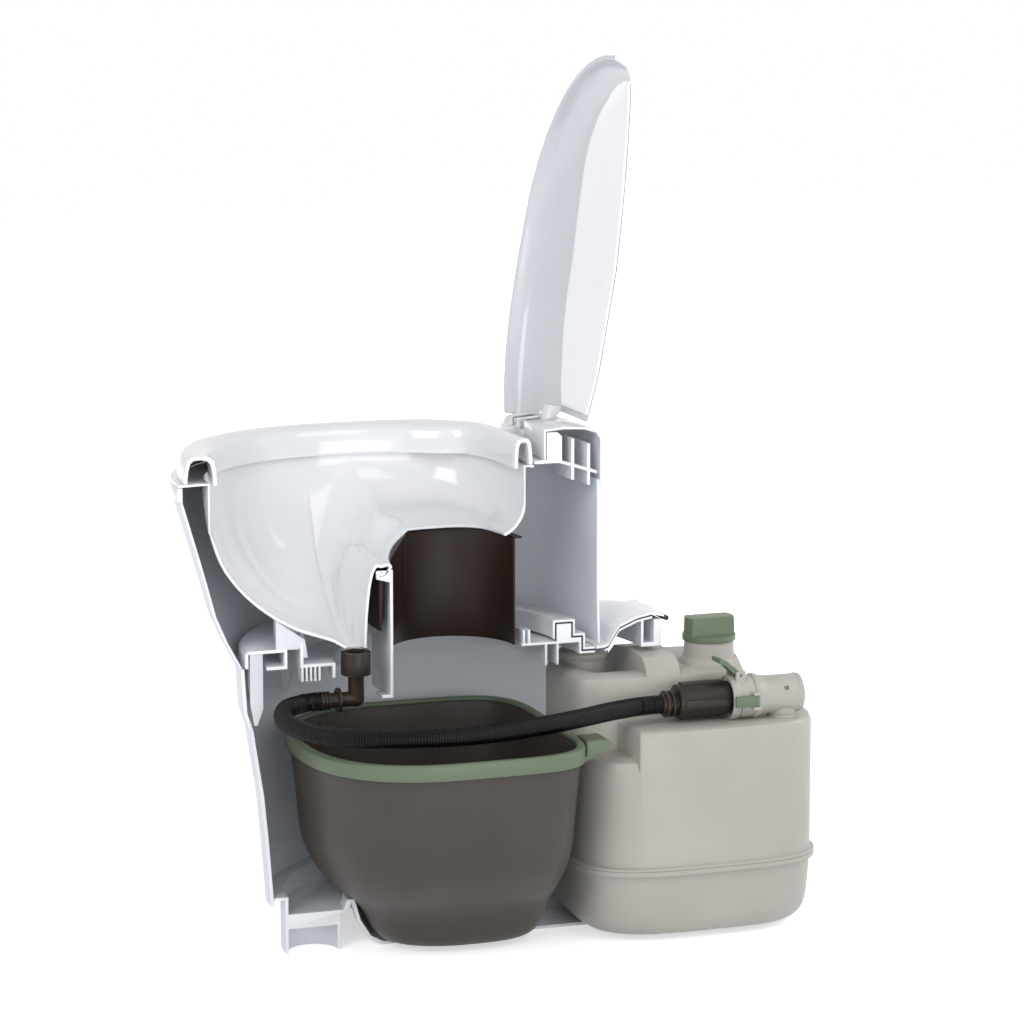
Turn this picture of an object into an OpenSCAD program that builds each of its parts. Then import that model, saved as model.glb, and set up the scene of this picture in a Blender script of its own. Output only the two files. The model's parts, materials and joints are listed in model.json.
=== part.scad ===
// Swivel composting toilet with urine separation, shown cut open on its mid plane.
// X runs from front to back, Y away from the cut plane, Z up.
// The swivel axis is the Z axis and the floor is at Z = 0.

/* [Seat and lid] */
// Height of the seat crown above the floor
seat_top = 509; // [480:1:540]
// Height of the rim that carries the seat
rim_z = 481.3; // [470:0.1:483]
// Front of the seat, ahead of the swivel axis
seat_front = 243; // [230:1:246]
// Back of the seat, behind the swivel axis
seat_back = 116; // [112:1:117]
// Half width of the seat
seat_half = 178; // [168:1:179]
// Width of the seat's band
seat_band = 34; // [30:1:38]
// Wall of the seat
seat_wall = 4.3; // [3:0.1:5]
// Front of the closed lid, ahead of the swivel axis
lid_front = 258; // [256:1:264]
// Half width of the lid
lid_half = 184; // [184:1:190]
// Wall of the lid
lid_wall = 4.5; // [3:0.1:5]
// Angle of the open lid
lid_angle = 100; // [95:1:102]
// Hinge axis behind the swivel axis
hinge_x = 135; // [134:0.5:137]
// Hinge axis above the floor
hinge_z = 500; // [499:0.5:502]
// Diameter of the hinge pin
hinge_pin_d = 8; // [6:0.5:9]

/* [Pedestal] */
// Height of the joint between pedestal and base
joint_z = 294; // [290:0.5:296]
// Radius of the round foot of the pedestal
foot_r = 189; // [188.5:0.5:192]
// Wall of the pedestal
housing_wall = 3; // [2.5:0.1:3.5]
// Height of the pedestal's wall at its top
housing_top = 463; // [455:1:466]
// Front of the pedestal's top
housing_front = 247; // [246:0.5:250]
// Back of the pedestal
housing_back = 187.5; // [186:0.5:188]
// Half width of the pedestal's top
housing_half = 184; // [183:0.5:187]

/* [Bowl] */
// Front of the bowl's inner wall
bowl_front = 217; // [212:1:219]
// Back of the bowl's inner wall
bowl_back = 107; // [105:0.5:108]
// Half width of the bowl
bowl_half = 146; // [140:1:150]
// Wall of the bowl
bowl_wall = 2.6; // [2:0.1:3]
// Height of the urine outlet
outlet_z = 307; // [304:0.5:312]
// Urine outlet ahead of the swivel axis
outlet_x = 70; // [68:0.5:71]
// Radius of the urine outlet
outlet_r = 8.5; // [7:0.5:9]
// Height of the ridge between the two halves of the bowl
ridge_z = 391; // [385:1:395]
// Radius of the drop duct
duct_r = 65; // [60:0.5:66]
// Height of the duct's lower edge
duct_bottom = 299; // [297:1:310]
// Wall of the duct
duct_wall = 2; // [1.5:0.1:2.5]

/* [Base] */
// Radius of the lower housing at its top
lower_r = 188; // [187:0.5:189]
// Wall of the lower housing
lower_wall = 3.5; // [3:0.1:4]
// Length of the floor pan behind the swivel axis
pan_back = 400; // [380:1:410]
// Wall of the floor pan
pan_wall = 3; // [2.5:0.1:3.5]
// Diameter of the floor screw holes
floor_hole_d = 6.5; // [5:0.1:8]
// Distance between the floor screw holes
floor_hole_pitch = 130; // [120:1:140]
// Back edge of the rear deck
deck_back = 258; // [252:1:260]
// Height that the rear deck rises above its groove
deck_rise = 31.5; // [26:0.5:34]

/* [Solids bin] */
// Height of the bin's rim
bin_top = 217; // [205:0.5:219]
// Half width of the bin at its rim
bin_half = 143; // [138:1:145]
// Front of the bin
bin_front = 130; // [126:1:133]
// Back of the bin
bin_back = 138; // [132:1:139]
// Wall of the bin
bin_wall = 3; // [2.5:0.1:3.5]

/* [Urine canister] */
// Front face of the canister
can_front = 150; // [149:1:155]
// Back face of the canister
can_back = 402; // [390:1:410]
// Half width of the canister
can_half = 97; // [92:1:98]
// Height of the low shoulder
can_low = 192; // [188:1:200]
// Height of the flat that carries the pour tube
can_mid = 221; // [218:0.5:222]
// Height of the raised block
can_high = 266; // [262:1:268]
// Height of the seam between the two halves
seam_z = 75; // [70:1:80]
// Radius of the pour tube
spout_r = 19.5; // [18:0.5:20]
// Bore of the pour tube
spout_bore_d = 33; // [31:0.5:35]

/* [Hose] */
// Outer diameter of the ribbed hose
hose_d = 19; // [18:0.5:20]
// Bore of the hose
hose_bore = 13; // [11:0.5:14]

/* [Hidden] */
$fn = 96;

white = [0.87, 0.88, 0.89];
white_cut = [0.82, 0.84, 0.86];
brown = [0.15, 0.12, 0.1];
bin_grey = [0.33, 0.31, 0.29];
sage = [0.56, 0.63, 0.51];
beige = [0.75, 0.73, 0.69];
black = [0.1, 0.1, 0.11];
steel = [0.7, 0.7, 0.7];

// Clearances and overruns
over = 1;
quarter_turn = 90;
fit = 0.3;
pin_fit = 0.05;
swivel_gap = 0.4;

// Resolution of the lofted shells
steps = 28;

// Ease from 0 to 1 without a corner
function ease(s) = let(c = min(1, max(0, s))) c * c * (3 - 2 * c);

// Value of a table of [place, value] rows at a place
function table(rows, x, i = 0) =
  x <= rows[0][0] ? rows[0][1] :
  i >= len(rows) - 1 ? rows[len(rows) - 1][1] :
  x <= rows[i + 1][0]
    ? rows[i][1] + (rows[i + 1][1] - rows[i][1]) * (x - rows[i][0]) / (rows[i + 1][0] - rows[i][0])
    : table(rows, x, i + 1);

// Half outline in plan: t = 0 is the back and t = 180 the front, n sets how square it is
function oval(t, xw, xf, xr, b, nf, nr, d = 0) =
  let(c = cos(t), s = sin(t), back = c >= 0, a = (back ? xr - xw : xw - xf) + d, n = back ? nr : nf)
  [xw + sign(c) * a * pow(abs(c), 2 / n), (b + d) * pow(abs(s), 2 / n)];

// Closed solid between two grids of points with the same rows and columns
module slab(front, behind, flip = false) {
  rows = len(front);
  cols = len(front[0]);
  n = rows * cols;
  points = concat([for (r = front) each r], [for (r = behind) each r]);
  faces = [
    for (i = [0 : rows - 2]) for (j = [0 : cols - 2])
      each let(a = i * cols + j, b = a + 1, c = a + cols + 1, d = a + cols)
        [[a, b, c], [a, c, d], [n + a, n + c, n + b], [n + a, n + d, n + c]],
    for (i = [0 : rows - 2])
      each let(a = i * cols, b = a + cols, c = a + cols - 1, d = b + cols - 1)
        [[a, b, n + b], [a, n + b, n + a], [c, n + c, n + d], [c, n + d, d]],
    for (j = [0 : cols - 2])
      each let(a = j, b = j + 1, c = (rows - 1) * cols + j, d = c + 1)
        [[a, n + a, n + b], [a, n + b, b], [c, d, n + d], [c, n + d, n + c]]
  ];
  polyhedron(points, flip ? [for (f = faces) [f[0], f[2], f[1]]] : faces, convexity = 8);
}

// Closed solid from a stack of closed loops, the first and last ones capped
module stack(loops, flip = false) {
  rows = len(loops);
  cols = len(loops[0]);
  points = [for (r = loops) each r];
  faces = concat(
    [for (i = [0 : rows - 2]) for (j = [0 : cols - 1])
      each let(k = (j + 1) % cols, a = i * cols + j, b = i * cols + k, c = b + cols, d = a + cols)
        [[a, d, c], [a, c, b]]],
    [for (j = [1 : cols - 2]) each let(q = (rows - 1) * cols) [[0, j, j + 1], [q, q + j + 1, q + j]]]
  );
  polyhedron(points, flip ? [for (f = faces) [f[0], f[2], f[1]]] : faces, convexity = 8);
}

// Point grid moved along its own normals; the first column stays in the cut plane
function cross_unit(u, v) = let(n = cross(u, v), l = norm(n)) l > 0 ? n / l : [0, 0, 1];
function grid_offset(g, d, flat_row = true) = [
  for (i = [0 : len(g) - 1]) [
    for (j = [0 : len(g[0]) - 1])
      let(ia = max(0, i - 1), ib = min(len(g) - 1, i + 1), ja = max(0, j - 1), jb = min(len(g[0]) - 1, j + 1),
          q = cross_unit(g[ib][j] - g[ia][j], g[i][jb] - g[i][ja]),
          edge = j == 0 || (flat_row && (i == 0 || (i == len(g) - 1 && g[i][j][1] < over))),
          m = edge ? [q[0], 0, q[2]] : q, k = norm(m) > 0 ? m / norm(m) : q)
      g[i][j] + d * k
  ]
];

// Polygon turned about the swivel axis from angle a0 to a1
module turned(points, a0 = 0, a1 = 180)
  rotate([0, 0, a0]) rotate_extrude(angle = a1 - a0, $fn = 128) polygon(points);

// Polygon in X and Z, extruded away from the cut plane from y0 to y1
module slice(points, y0, y1)
  translate([0, y1, 0]) rotate([90, 0, 0]) linear_extrude(y1 - y0) polygon(points);

// Base: lower housing with a round front and straight sides
lower_top = joint_z - swivel_gap / 2;
lower_shares = [[1, 1], [0.986, 0.848], [0.955, 0.788], [0.9, 0.557], [0.878, 0.405], [0.851, 0.17]];
function lower_line(inset, top = lower_top) =
  [for (s = lower_shares) [lower_r * s[0] - inset, min(top, lower_top * s[1])]];
function reversed(v) = [for (i = [len(v) - 1 : -1 : 0]) v[i]];
function lower_section(top) = concat(lower_line(0, top), reversed(lower_line(lower_wall, top)));
module lower_housing() {
  color(white_cut) {
    turned(lower_section(lower_top), 90, 180);
    rotate([90, 0, 90]) linear_extrude(deck_back) polygon(lower_section(ring_low - deck_t - fit));
  }
}

// Floor tray: a channel for the bin, a wider pan for the canister and hollow feet
tray_r = 145;
tray_top = 40;
tray_rim = 58;
tray_ledge_share = 0.8505;
tray_ledge = lower_r * tray_ledge_share - lower_wall;
channel_x = 4;
channel_r = 77;
channel_h = 50;
channel_shares = [[0, 0], [0, 0.06], [0.61, 0.06], [0.78, 0.2], [0.92, 0.55], [1, 1], [1.1, 1], [1.15, 0.8],
  [1.15, 0.74], [1.08, 0.74], [1.04, 0.93], [0.96, 0.53], [0.81, 0.15], [0.65, 0]];
channel_section = [for (s = channel_shares) [channel_r * s[0], channel_h * s[1]]];
channel_side_share = 1.12;
pan_ahead = 4;
pan_beside = 3;
pan_front = can_front - pan_ahead;
pan_half = can_half + pan_beside;
foot_radius = 28.5;
foot_x = tray_r - foot_radius;
foot_wall = 3;
foot_roof = 15;
hole_y = 115;
hole_boss_r = 10;
module tray_plan() {
  intersection() {
    union() {
      circle(tray_r - pan_wall / 2);
      square([deck_back, tray_r - pan_wall / 2]);
    }
    translate([-tray_r, 0]) square([tray_r + pan_front, tray_r]);
  }
}
module channel_plan() {
  translate([channel_x, 0]) circle(channel_r * channel_side_share);
  translate([channel_x, -channel_r]) square([pan_back, channel_r * (1 + channel_side_share)]);
}
module base_tray() {
  wall = [[tray_r - pan_wall, 0], [tray_r, 0], [tray_r, tray_rim - pan_wall], [tray_ledge, tray_rim - pan_wall],
    [tray_ledge, tray_rim], [tray_r - pan_wall, tray_rim]];
  pan = [[0, 0], [pan_half + pan_wall, 0], [pan_half + pan_wall, tray_top], [pan_half, tray_top],
    [pan_half, pan_wall], [0, pan_wall]];
  color(white_cut) difference() {
    union() {
      turned(wall, 90, 180);
      rotate([90, 0, 90]) linear_extrude(deck_back) polygon(wall);
      translate([0, 0, tray_top - pan_wall]) linear_extrude(pan_wall) difference() {
        tray_plan();
        channel_plan();
      }
      translate([channel_x, 0, 0]) rotate([0, 0, 90]) rotate_extrude(angle = 90) polygon(channel_section);
      translate([channel_x, 0, 0]) rotate([90, 0, 90]) linear_extrude(pan_front - channel_x)
        polygon(channel_section);
      translate([pan_front, 0, 0]) rotate([90, 0, 90]) linear_extrude(pan_back - pan_front) polygon(pan);
      translate([pan_front - pan_wall, channel_r, 0]) cube([pan_wall, tray_r - channel_r - pan_wall / 2, tray_top]);
      translate([-foot_x, 0, 0]) rotate_extrude(angle = 180, $fn = 64)
        polygon([[0, tray_top - foot_roof], [foot_radius - foot_wall, tray_top - foot_roof],
          [foot_radius - foot_wall, 0], [foot_radius, 0], [foot_radius, tray_top], [0, tray_top]]);
      for (x = [-0.5, 0.5] * floor_hole_pitch)
        translate([x, hole_y, 0]) cylinder(r = hole_boss_r, h = tray_top - pan_wall / 2);
    }
    for (x = [-0.5, 0.5] * floor_hole_pitch)
      translate([x, hole_y, -over]) cylinder(d = floor_hole_d, h = tray_top + 2 * over);
  }
}

// Swivel ring: stepped layers with a seal between them
ring_end = lower_r - lower_wall - 4 * fit;
ring_end_w = 10.8;
ring_step_w = 11;
ring_hat_w = 23.9;
ring_step = ring_end - ring_end_w;
ring_hat = ring_step - ring_step_w;
ring_in = ring_hat - ring_hat_w;
ring_sink = 2.8;
ring_foot_rise = 12;
ring_mid_rise = 14.8;
ring_rise = 29.8;
ring_low = joint_z - ring_sink;
ring_foot = ring_low + ring_foot_rise;
ring_mid = ring_low + ring_mid_rise;
ring_high = ring_low + ring_rise;
ring_layer = 2.5;
ring_gap = 1.5;
ring_arc = 118;
function step_line(e) = [[ring_in + e, ring_foot - e], [ring_in + e, ring_high - e], [ring_hat - e, ring_high - e],
  [ring_hat - e, ring_mid - e], [ring_step - e, ring_mid - e], [ring_step - e, ring_low - e], [ring_end, ring_low - e]];
function layer(e0, e1) = concat(step_line(e0), reversed(step_line(e1)));
seal_at = ring_layer + ring_gap;
module ring_cover() color(white) turned(layer(0, ring_layer), 0, ring_arc);
module ring_seal() color(black) turned(layer(ring_layer, seal_at), 0, ring_arc);
rib_drop = 16;
rib_bottom = ring_low - rib_drop;
rib_t = 2.5;
rib_gap = 8.3;
lug_gap = 26.4;
lug_pitch = 5.5;
rib_radii = [ring_in - rib_gap, ring_in + seal_at];
lug_radii = [ring_in - lug_gap - lug_pitch, ring_in - lug_gap];
lug_h = 14;
frame_in = 104.5;
frame_top = ring_foot - seal_at;
module ring_frame() {
  color(white_cut) {
    turned(concat(step_line(seal_at), [[ring_end, ring_low - seal_at - ring_layer],
      [ring_step - seal_at - ring_layer, ring_low - seal_at - ring_layer],
      [ring_step - seal_at - ring_layer, frame_top - rib_t], [ring_in + seal_at, frame_top - rib_t]]), 0, ring_arc);
    turned([[frame_in, frame_top - rib_t], [ring_in + seal_at + rib_t, frame_top - rib_t],
      [ring_in + seal_at + rib_t, frame_top], [frame_in, frame_top]], 0, ring_arc);
    for (r = rib_radii)
      turned([[r, rib_bottom], [r + rib_t, rib_bottom], [r + rib_t, frame_top], [r, frame_top]], 0, ring_arc);
    for (r = lug_radii)
      turned([[r, frame_top - rib_t], [r + rib_t, frame_top - rib_t], [r + rib_t, frame_top + lug_h],
        [r, frame_top + lug_h]], 0, ring_arc);
  }
}

// Front of the turntable: plate, stepped channel, fluted rail, gussets and a locating blade
plate_rise = 20;
plate_top = ring_low + plate_rise;
plate_in = 140.5;
plate_t = 3;
rail_in = 91;
rail_out = 127;
rail_drop = 12;
rail_rise = 4;
flute_t = 2;
flute_pitch = 4.4;
flutes = 5;
flute_drop = 14;
blade_bottom = 236;
blade_w = 18;
blade_shares = [[0.28, 0.987], [1, 0.987], [1, 0.213], [0.667, 0], [0.5, 0], [0.28, 0.293]];
gusset_t = 3;
gusset_inset = 10;
gusset_w = 32.5;
gusset_h = 39;
gusset_shares = [[0, -0.026], [0, 0.744], [0.908, 0.205], [1, -0.256], [0.831, -0.256], [0.785, -0.026]];
gusset_angles = [0, -26, -52];
module turntable_plate() {
  color(white) {
    turned([[plate_in, ring_low], [ring_hat, ring_low], [ring_hat, ring_low + plate_t],
      [plate_in + plate_t, ring_low + plate_t], [plate_in + plate_t, plate_top - plate_t],
      [ring_end - plate_t, plate_top - plate_t], [ring_end - plate_t, ring_low + plate_t],
      [ring_end, ring_low + plate_t], [ring_end, plate_top - plate_t], [ring_end - plate_t, plate_top],
      [plate_in, plate_top]], ring_arc + fit, 180);
    turned([[rail_in, ring_low - rail_drop], [rail_in + plate_t, ring_low - rail_drop], [rail_in + plate_t, ring_low],
      [rail_out, ring_low], [rail_out, plate_top + rail_rise], [rail_out - plate_t, plate_top + rail_rise],
      [rail_out - plate_t, ring_low + plate_t], [rail_in, ring_low + plate_t]], ring_arc + fit, 180);
    for (i = [0 : flutes - 1])
      turned([for (c = [[0, -flute_drop], [flute_t, -flute_drop], [flute_t, over], [0, over]])
        [rail_out - plate_t - i * flute_pitch + c[0], ring_low + c[1]]], ring_arc + fit, 180);
    for (a = gusset_angles) rotate([0, 0, a]) {
      slice([for (q = gusset_shares) [gusset_inset - ring_hat + gusset_w * q[0], plate_top + gusset_h * q[1]]],
        over, over + gusset_t);
      slice([for (q = blade_shares) [blade_w * q[0] - ring_end, lerp(blade_bottom, plate_top, q[1])]],
        over, over + gusset_t);
    }
  }
}

// Rear deck: a crowned cover from the groove to the vehicle wall
deck_t = 2.5;
deck_in = lower_r - lower_wall;
deck_side = lower_r + over;
deck_tail_share = 0.9;
deck_shares = [[0, 0], [0.13, 0.02], [0.18, 0.07], [0.26, 0.38], [0.34, 0.65], [0.6, 0.9], [0.82, 1],
  [1, deck_tail_share]];
deck_crown_shares = [[0, 1], [0.42, 1], [0.6, 0.85], [0.78, 0.45], [0.92, 0.1], [1, 0]];
function deck_edge(a) = sin(a) * deck_back > cos(a) * deck_side ? deck_side / sin(a) : deck_back / cos(a);
function deck_point(a, s, drop) =
  let(r = deck_in + (deck_edge(a) - deck_in) * s, x = r * cos(a), y = r * sin(a),
      reach = min(1, (r - deck_in) / (deck_back - deck_in)))
  [x, y, ring_low + deck_rise * table(deck_shares, reach) * table(deck_crown_shares, y / deck_side)
    * ease((deck_edge(a) - deck_in) / (deck_back - deck_in) * 2) - drop];
deck_angle_shares = [0, 0.1, 0.2, 0.29, 0.35, 0.4, 0.45, 0.5, 0.56, 0.64, 0.74, 0.87, 1];
deck_radius_shares = [for (s = deck_shares) s[0]];
function deck_grid(drop, from = 0) = [for (a = deck_angle_shares)
  [for (s = deck_radius_shares) if (s >= from) deck_point(a * quarter_turn, s, drop)]];
module deck_top() color(white) slab(deck_grid(0), deck_grid(deck_t), true);
deck_arc = 15;
under_gap = 0.2;
under_turn_share = 0.2;
under_shares = [0.1, 0.9];
function under_grid(drop) = [for (a = deck_angle_shares) if (a <= under_turn_share)
  [for (s = deck_radius_shares) if (s > under_shares[0] && s < under_shares[1]) deck_point(a * quarter_turn, s, drop)]];
module deck_seal() color(black) slab(under_grid(deck_t + under_gap), under_grid(seal_at), true);
bracket_in = 233;
bracket_out = 255;
bracket_drop = 35.5;
bracket_post = 8;
post_top_shares = [2.2, 2];
module deck_bracket() {
  top = ring_low + deck_rise;
  color(white) {
    slab(under_grid(seal_at + under_gap), under_grid(seal_at + deck_t), true);
    turned([[bracket_in, top - bracket_drop], [bracket_out, top - bracket_drop], [bracket_out, top - deck_rise],
      [bracket_in + deck_t, top - deck_rise], [bracket_in + deck_t, top - seal_at * post_top_shares[0]],
      [bracket_in, top - seal_at * post_top_shares[0]]], 0, deck_arc);
    turned([[bracket_out - bracket_post, top - bracket_drop + over], [bracket_out, top - bracket_drop + over],
      [bracket_out, top - seal_at * post_top_shares[1]],
      [bracket_out - bracket_post, top - seal_at * post_top_shares[1]]], 0, deck_arc);
  }
}
bulb_r = 2.6;
wall_seal_w = 60;
seal_root = 2;
module wall_seal() {
  top = ring_low + deck_rise * deck_tail_share - deck_t - fit;
  color(black) {
    translate([deck_back - seal_root, 0, top - deck_t]) cube([bulb_r + over, wall_seal_w, deck_t]);
    translate([deck_back + bulb_r, wall_seal_w, top - deck_t / 2]) rotate([90, 0, 0])
      cylinder(r = bulb_r, h = wall_seal_w);
  }
}

// Pedestal: a shell from the round foot to the seat's outline
function lerp(a, b, s) = a + (b - a) * s;
housing_foot = joint_z + swivel_gap / 2;
housing_row_shares = [0, 0.08, 0.16, 0.32, 0.5, 0.66, 0.82, 1];
housing_bulge_shares = [[0, 0], [0.15, 0.24], [0.32, 0.45], [0.57, 0.64], [0.8, 0.83], [1, 1]];
housing_shift = 31;
function housing_point(t, s, d = 0) =
  let(q = oval(t, -housing_shift * s, -lerp(foot_r, housing_front, table(housing_bulge_shares, s)),
      lerp(foot_r, housing_back, min(1, 4 * s)), lerp(foot_r, housing_half, s), 2 + 0.3 * s, 2 + s, d))
  [q[0], q[1], lerp(housing_foot, housing_top, s)];
function turn_angles(a, b, n) = [for (i = [0 : n]) lerp(a, b, i / n)];
function housing_grid(d) = [for (t = turn_angles(0, 180, steps)) [for (s = housing_row_shares) housing_point(t, s, d)]];
module upper_housing() color(white) slab(housing_grid(0), housing_grid(-housing_wall));

// Collar between the housing's wall and the bowl's flange
collar_from = 41;
collar_gap = 3;
collar_top = rim_z - collar_gap;
collar_lip = 3.5;
collar_outer_shares = [[0, 0], [0.85, 0.3], [1, 0.7], [0.4, 1]];
function collar_grid(inner) = [for (t = turn_angles(collar_from, 180, steps)) [for (s = collar_outer_shares)
  let(q = housing_point(t, 1, inner ? -housing_wall : collar_lip * s[0]))
  [q[0], q[1], lerp(housing_top, collar_top, s[1])]]];
module housing_collar() color(white) slab(collar_grid(false), collar_grid(true));

// Column cap behind the seat, with slots for the two hinge arms
cap_arc = 40;
cap_ahead = 7.2;
cap_rise = 18;
cap_slope = 1.5;
cap_lip = 14;
cap_front = hinge_x - cap_ahead;
cap_top = hinge_z + cap_rise;
cap_nose = cap_top - cap_slope;
cap_skirt = 5;
cap_wall = 2.2;
cap_drop = 4;
cap_edge = 14;
slot_len = 38;
slot_drop = 20;
bracket_half = 106;
plate_shares = [[0, 0.052], [0.532, 0.572], [0.96, 1]];
arm_w = 15.4;
lid_arm_gap = 1.67;
seat_arm_gap = 2.06;
lid_arm_y = bracket_half * plate_shares[1][1] + lid_arm_gap;
seat_arm_y = bracket_half * plate_shares[2][0] - seat_arm_gap - arm_w;
cap_shares = [[0.3, 1.3], [1.2, 0.3]];
cap_fall = 15;
cap_fall_turn = [27, 10];
function cap_low_at(t) = cap_fall * ease((t - cap_fall_turn[0]) / cap_fall_turn[1]);
cap_flat_share = 1.5;
function cap_section(t, e) =
  let(q = housing_point(t, 1, fit + cap_wall - e), f = cap_low_at(t))
  [[q[0], q[1], housing_top - cap_skirt], [q[0], q[1], cap_top - cap_edge - f / 2],
   for (c = cap_shares) [q[0] - cap_edge * c[0], q[1], cap_top - cap_drop * c[1] - e - f],
   [cap_front + cap_flat_share * cap_edge, q[1], cap_top - e - f], [cap_front + e, q[1], cap_nose - e - f],
   [cap_front + e, q[1], hinge_z - cap_lip]];
function cap_grid(e) = [for (t = turn_angles(0, cap_arc, 8)) cap_section(t, e)];
module arm_slot(y) translate([cap_front - over, y - over, hinge_z - slot_drop])
  cube([slot_len, arm_w + 2 * over, slot_drop + cap_rise + over]);
module column_cap() color(white) difference() {
  slab(cap_grid(0), cap_grid(cap_wall));
  arm_slot(lid_arm_y);
  arm_slot(seat_arm_y);
}

// Hinge bracket under the cap: floor plate, ribs and the plates that carry the pin
bracket_sink = 18;
bracket_floor = hinge_z - bracket_sink;
bracket_t = 3;
bracket_ahead = 17;
bracket_front = hinge_x - bracket_ahead;
bracket_knee = 9;
rib_len = 60;
rib_h = 42;
rib_rows = [[22, 18], [39, 24]];
ear_front = 6;
ear_back = 12;
ear_chamfer = 5;
ear_shoulder = 9;
bracket_r = 285;
pin_from = 3;
module hinge_bracket() {
  knee_x = hinge_x + bracket_knee;
  ear_low = hinge_z - cap_lip - fit;
  ear_top = cap_nose - cap_wall - over;
  color(white) difference() {
    intersection() {
      union() {
        slice([[bracket_front, bracket_floor], [knee_x, bracket_floor], [housing_back, bracket_floor - cap_edge],
          [housing_back, bracket_floor - cap_edge + bracket_t], [knee_x, bracket_floor + bracket_t],
          [bracket_front, bracket_floor + bracket_t]], 0, bracket_half);
        for (q = rib_rows)
          translate([hinge_x + q[0], 0, bracket_floor - q[1]]) cube([bracket_t, rib_len, rib_h]);
        for (q = plate_shares)
          slice([[bracket_front + ear_front, bracket_floor + over], [hinge_x + ear_back, bracket_floor + over],
            [hinge_x + ear_back, hinge_z + ear_shoulder], [hinge_x + ear_back - ear_chamfer, ear_top],
            [cap_front + cap_wall + over, ear_top], [cap_front + cap_wall + over, ear_low],
            [bracket_front + ear_front, ear_low]], q[0] * bracket_half, q[1] * bracket_half);
      }
      translate([housing_back - housing_wall - fit - bracket_r, 0, 0]) cylinder(r = bracket_r, h = cap_top, $fn = 256);
    }
    translate([hinge_x, bracket_half + over, hinge_z]) rotate([90, 0, 0])
      cylinder(d = hinge_pin_d + 2 * pin_fit, h = bracket_half + over - pin_from);
  }
}
module hinge_pin() color(steel)
  translate([hinge_x, bracket_half, hinge_z]) rotate([90, 0, 0]) cylinder(d = hinge_pin_d, h = bracket_half - pin_from - over);

// Bowl: cross sections along X, each from the cut plane up the side to the flange
bowl_widest = -50;
bowl_nf = 2.2;
bowl_nr = 3.2;
bowl_rise = rim_z - outlet_z;
lip_rise = 106;
lip_z = outlet_z + lip_rise;
hole_ahead = 5;
duct_flange = 7;
hole_x = duct_r / 2 - hole_ahead;
hole_half = duct_r - duct_flange;
hole_inset = 11;
basin_shares = [[0, 0], [0.04, 0.04], [0.16, 0.08], [0.35, 0.13], [0.53, 0.21], [0.69, 0.31], [0.81, 0.41],
  [0.93, 0.55], [0.985, 0.69], [1, 0.78]];
drain_shares = [[0, 0], [0.2, 0.4], [0.5, 0.68], [0.8, 0.83], [1, 0.9]];
ridge_shares = [[0, 0.9], [0.15, 0.96], [0.35, 1], [0.6, 1], [0.8, 0.98], [1, 0.95]];
drain_run = 8;
ridge_len = 22;
ridge_front = outlet_x - outlet_r - drain_run;
ridge_back = ridge_front - ridge_len;
bowl_corner_shares = [[0, 0], [0.3, 0.1], [0.6, 0.3], [0.85, 0.6], [1, 1]];
bowl_corner_h = 30;
bowl_corner_len = 22;
lip_share = 0.95;
function bowl_side(x) =
  let(ahead = x < bowl_widest, a = ahead ? bowl_front + bowl_widest : bowl_back - bowl_widest,
      n = ahead ? bowl_nf : bowl_nr, u = min(1, abs(x - bowl_widest) / a))
  bowl_half * pow(max(0, 1 - pow(u, n)), 1 / n);
function bowl_floor(x) =
  x <= -outlet_x - outlet_r
    ? outlet_z + bowl_rise * table(basin_shares, (-x - outlet_x - outlet_r) / (bowl_front - outlet_x - outlet_r)) :
  x <= -outlet_x + outlet_r ? outlet_z :
  x <= -ridge_front ? outlet_z + (ridge_z - outlet_z) * table(drain_shares, (x + outlet_x - outlet_r) / drain_run) :
  x <= -ridge_back
    ? outlet_z + (ridge_z - outlet_z) * table(ridge_shares, (x + ridge_front) / (ridge_front - ridge_back)) :
  x <= 0 ? lerp(outlet_z + (ridge_z - outlet_z) * lip_share, lip_z, 1 + x / ridge_back) :
  lip_z + bowl_corner_h * table(bowl_corner_shares, 1 + (x - bowl_back) / bowl_corner_len);
function bowl_hole(x) =
  abs(x + outlet_x) < outlet_r ? sqrt(outlet_r * outlet_r - (x + outlet_x) * (x + outlet_x)) :
  abs(x - hole_x) < hole_half ? (duct_r - hole_inset) * pow(1 - pow(abs(x - hole_x) / hole_half, 3), 1 / 3) : 0;
function bowl_curve(v, p) = 1 - pow(max(0, 1 - pow(v, p)), 1 / p);
bowl_cols = 8;
bowl_stations = [for (s = [1, 0.985, 0.955, 0.91, 0.84, 0.75, 0.64, 0.53, 0.45, 0.4]) -bowl_front * s,
  for (s = [-1, -0.92, -0.6, 0, 0.6, 0.92, 1]) -outlet_x + outlet_r * s,
  for (s = [0.2, 0.5, 0.8]) -outlet_x + outlet_r + drain_run * s,
  for (s = [0, 0.15, 0.35, 0.6, 0.8, 1]) -lerp(ridge_front, ridge_back, s),
  for (s = [-1, -0.985, -0.93, -0.8, -0.55, -0.2, 0.2, 0.55, 0.8, 0.93, 0.985, 1]) hole_x + hole_half * s,
  for (s = [0.45, 0.7, 0.85, 0.96, 1]) bowl_back - bowl_corner_len * (1 - s)];
flange_gap = 18;
flange_back = hinge_x - flange_gap;
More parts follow.
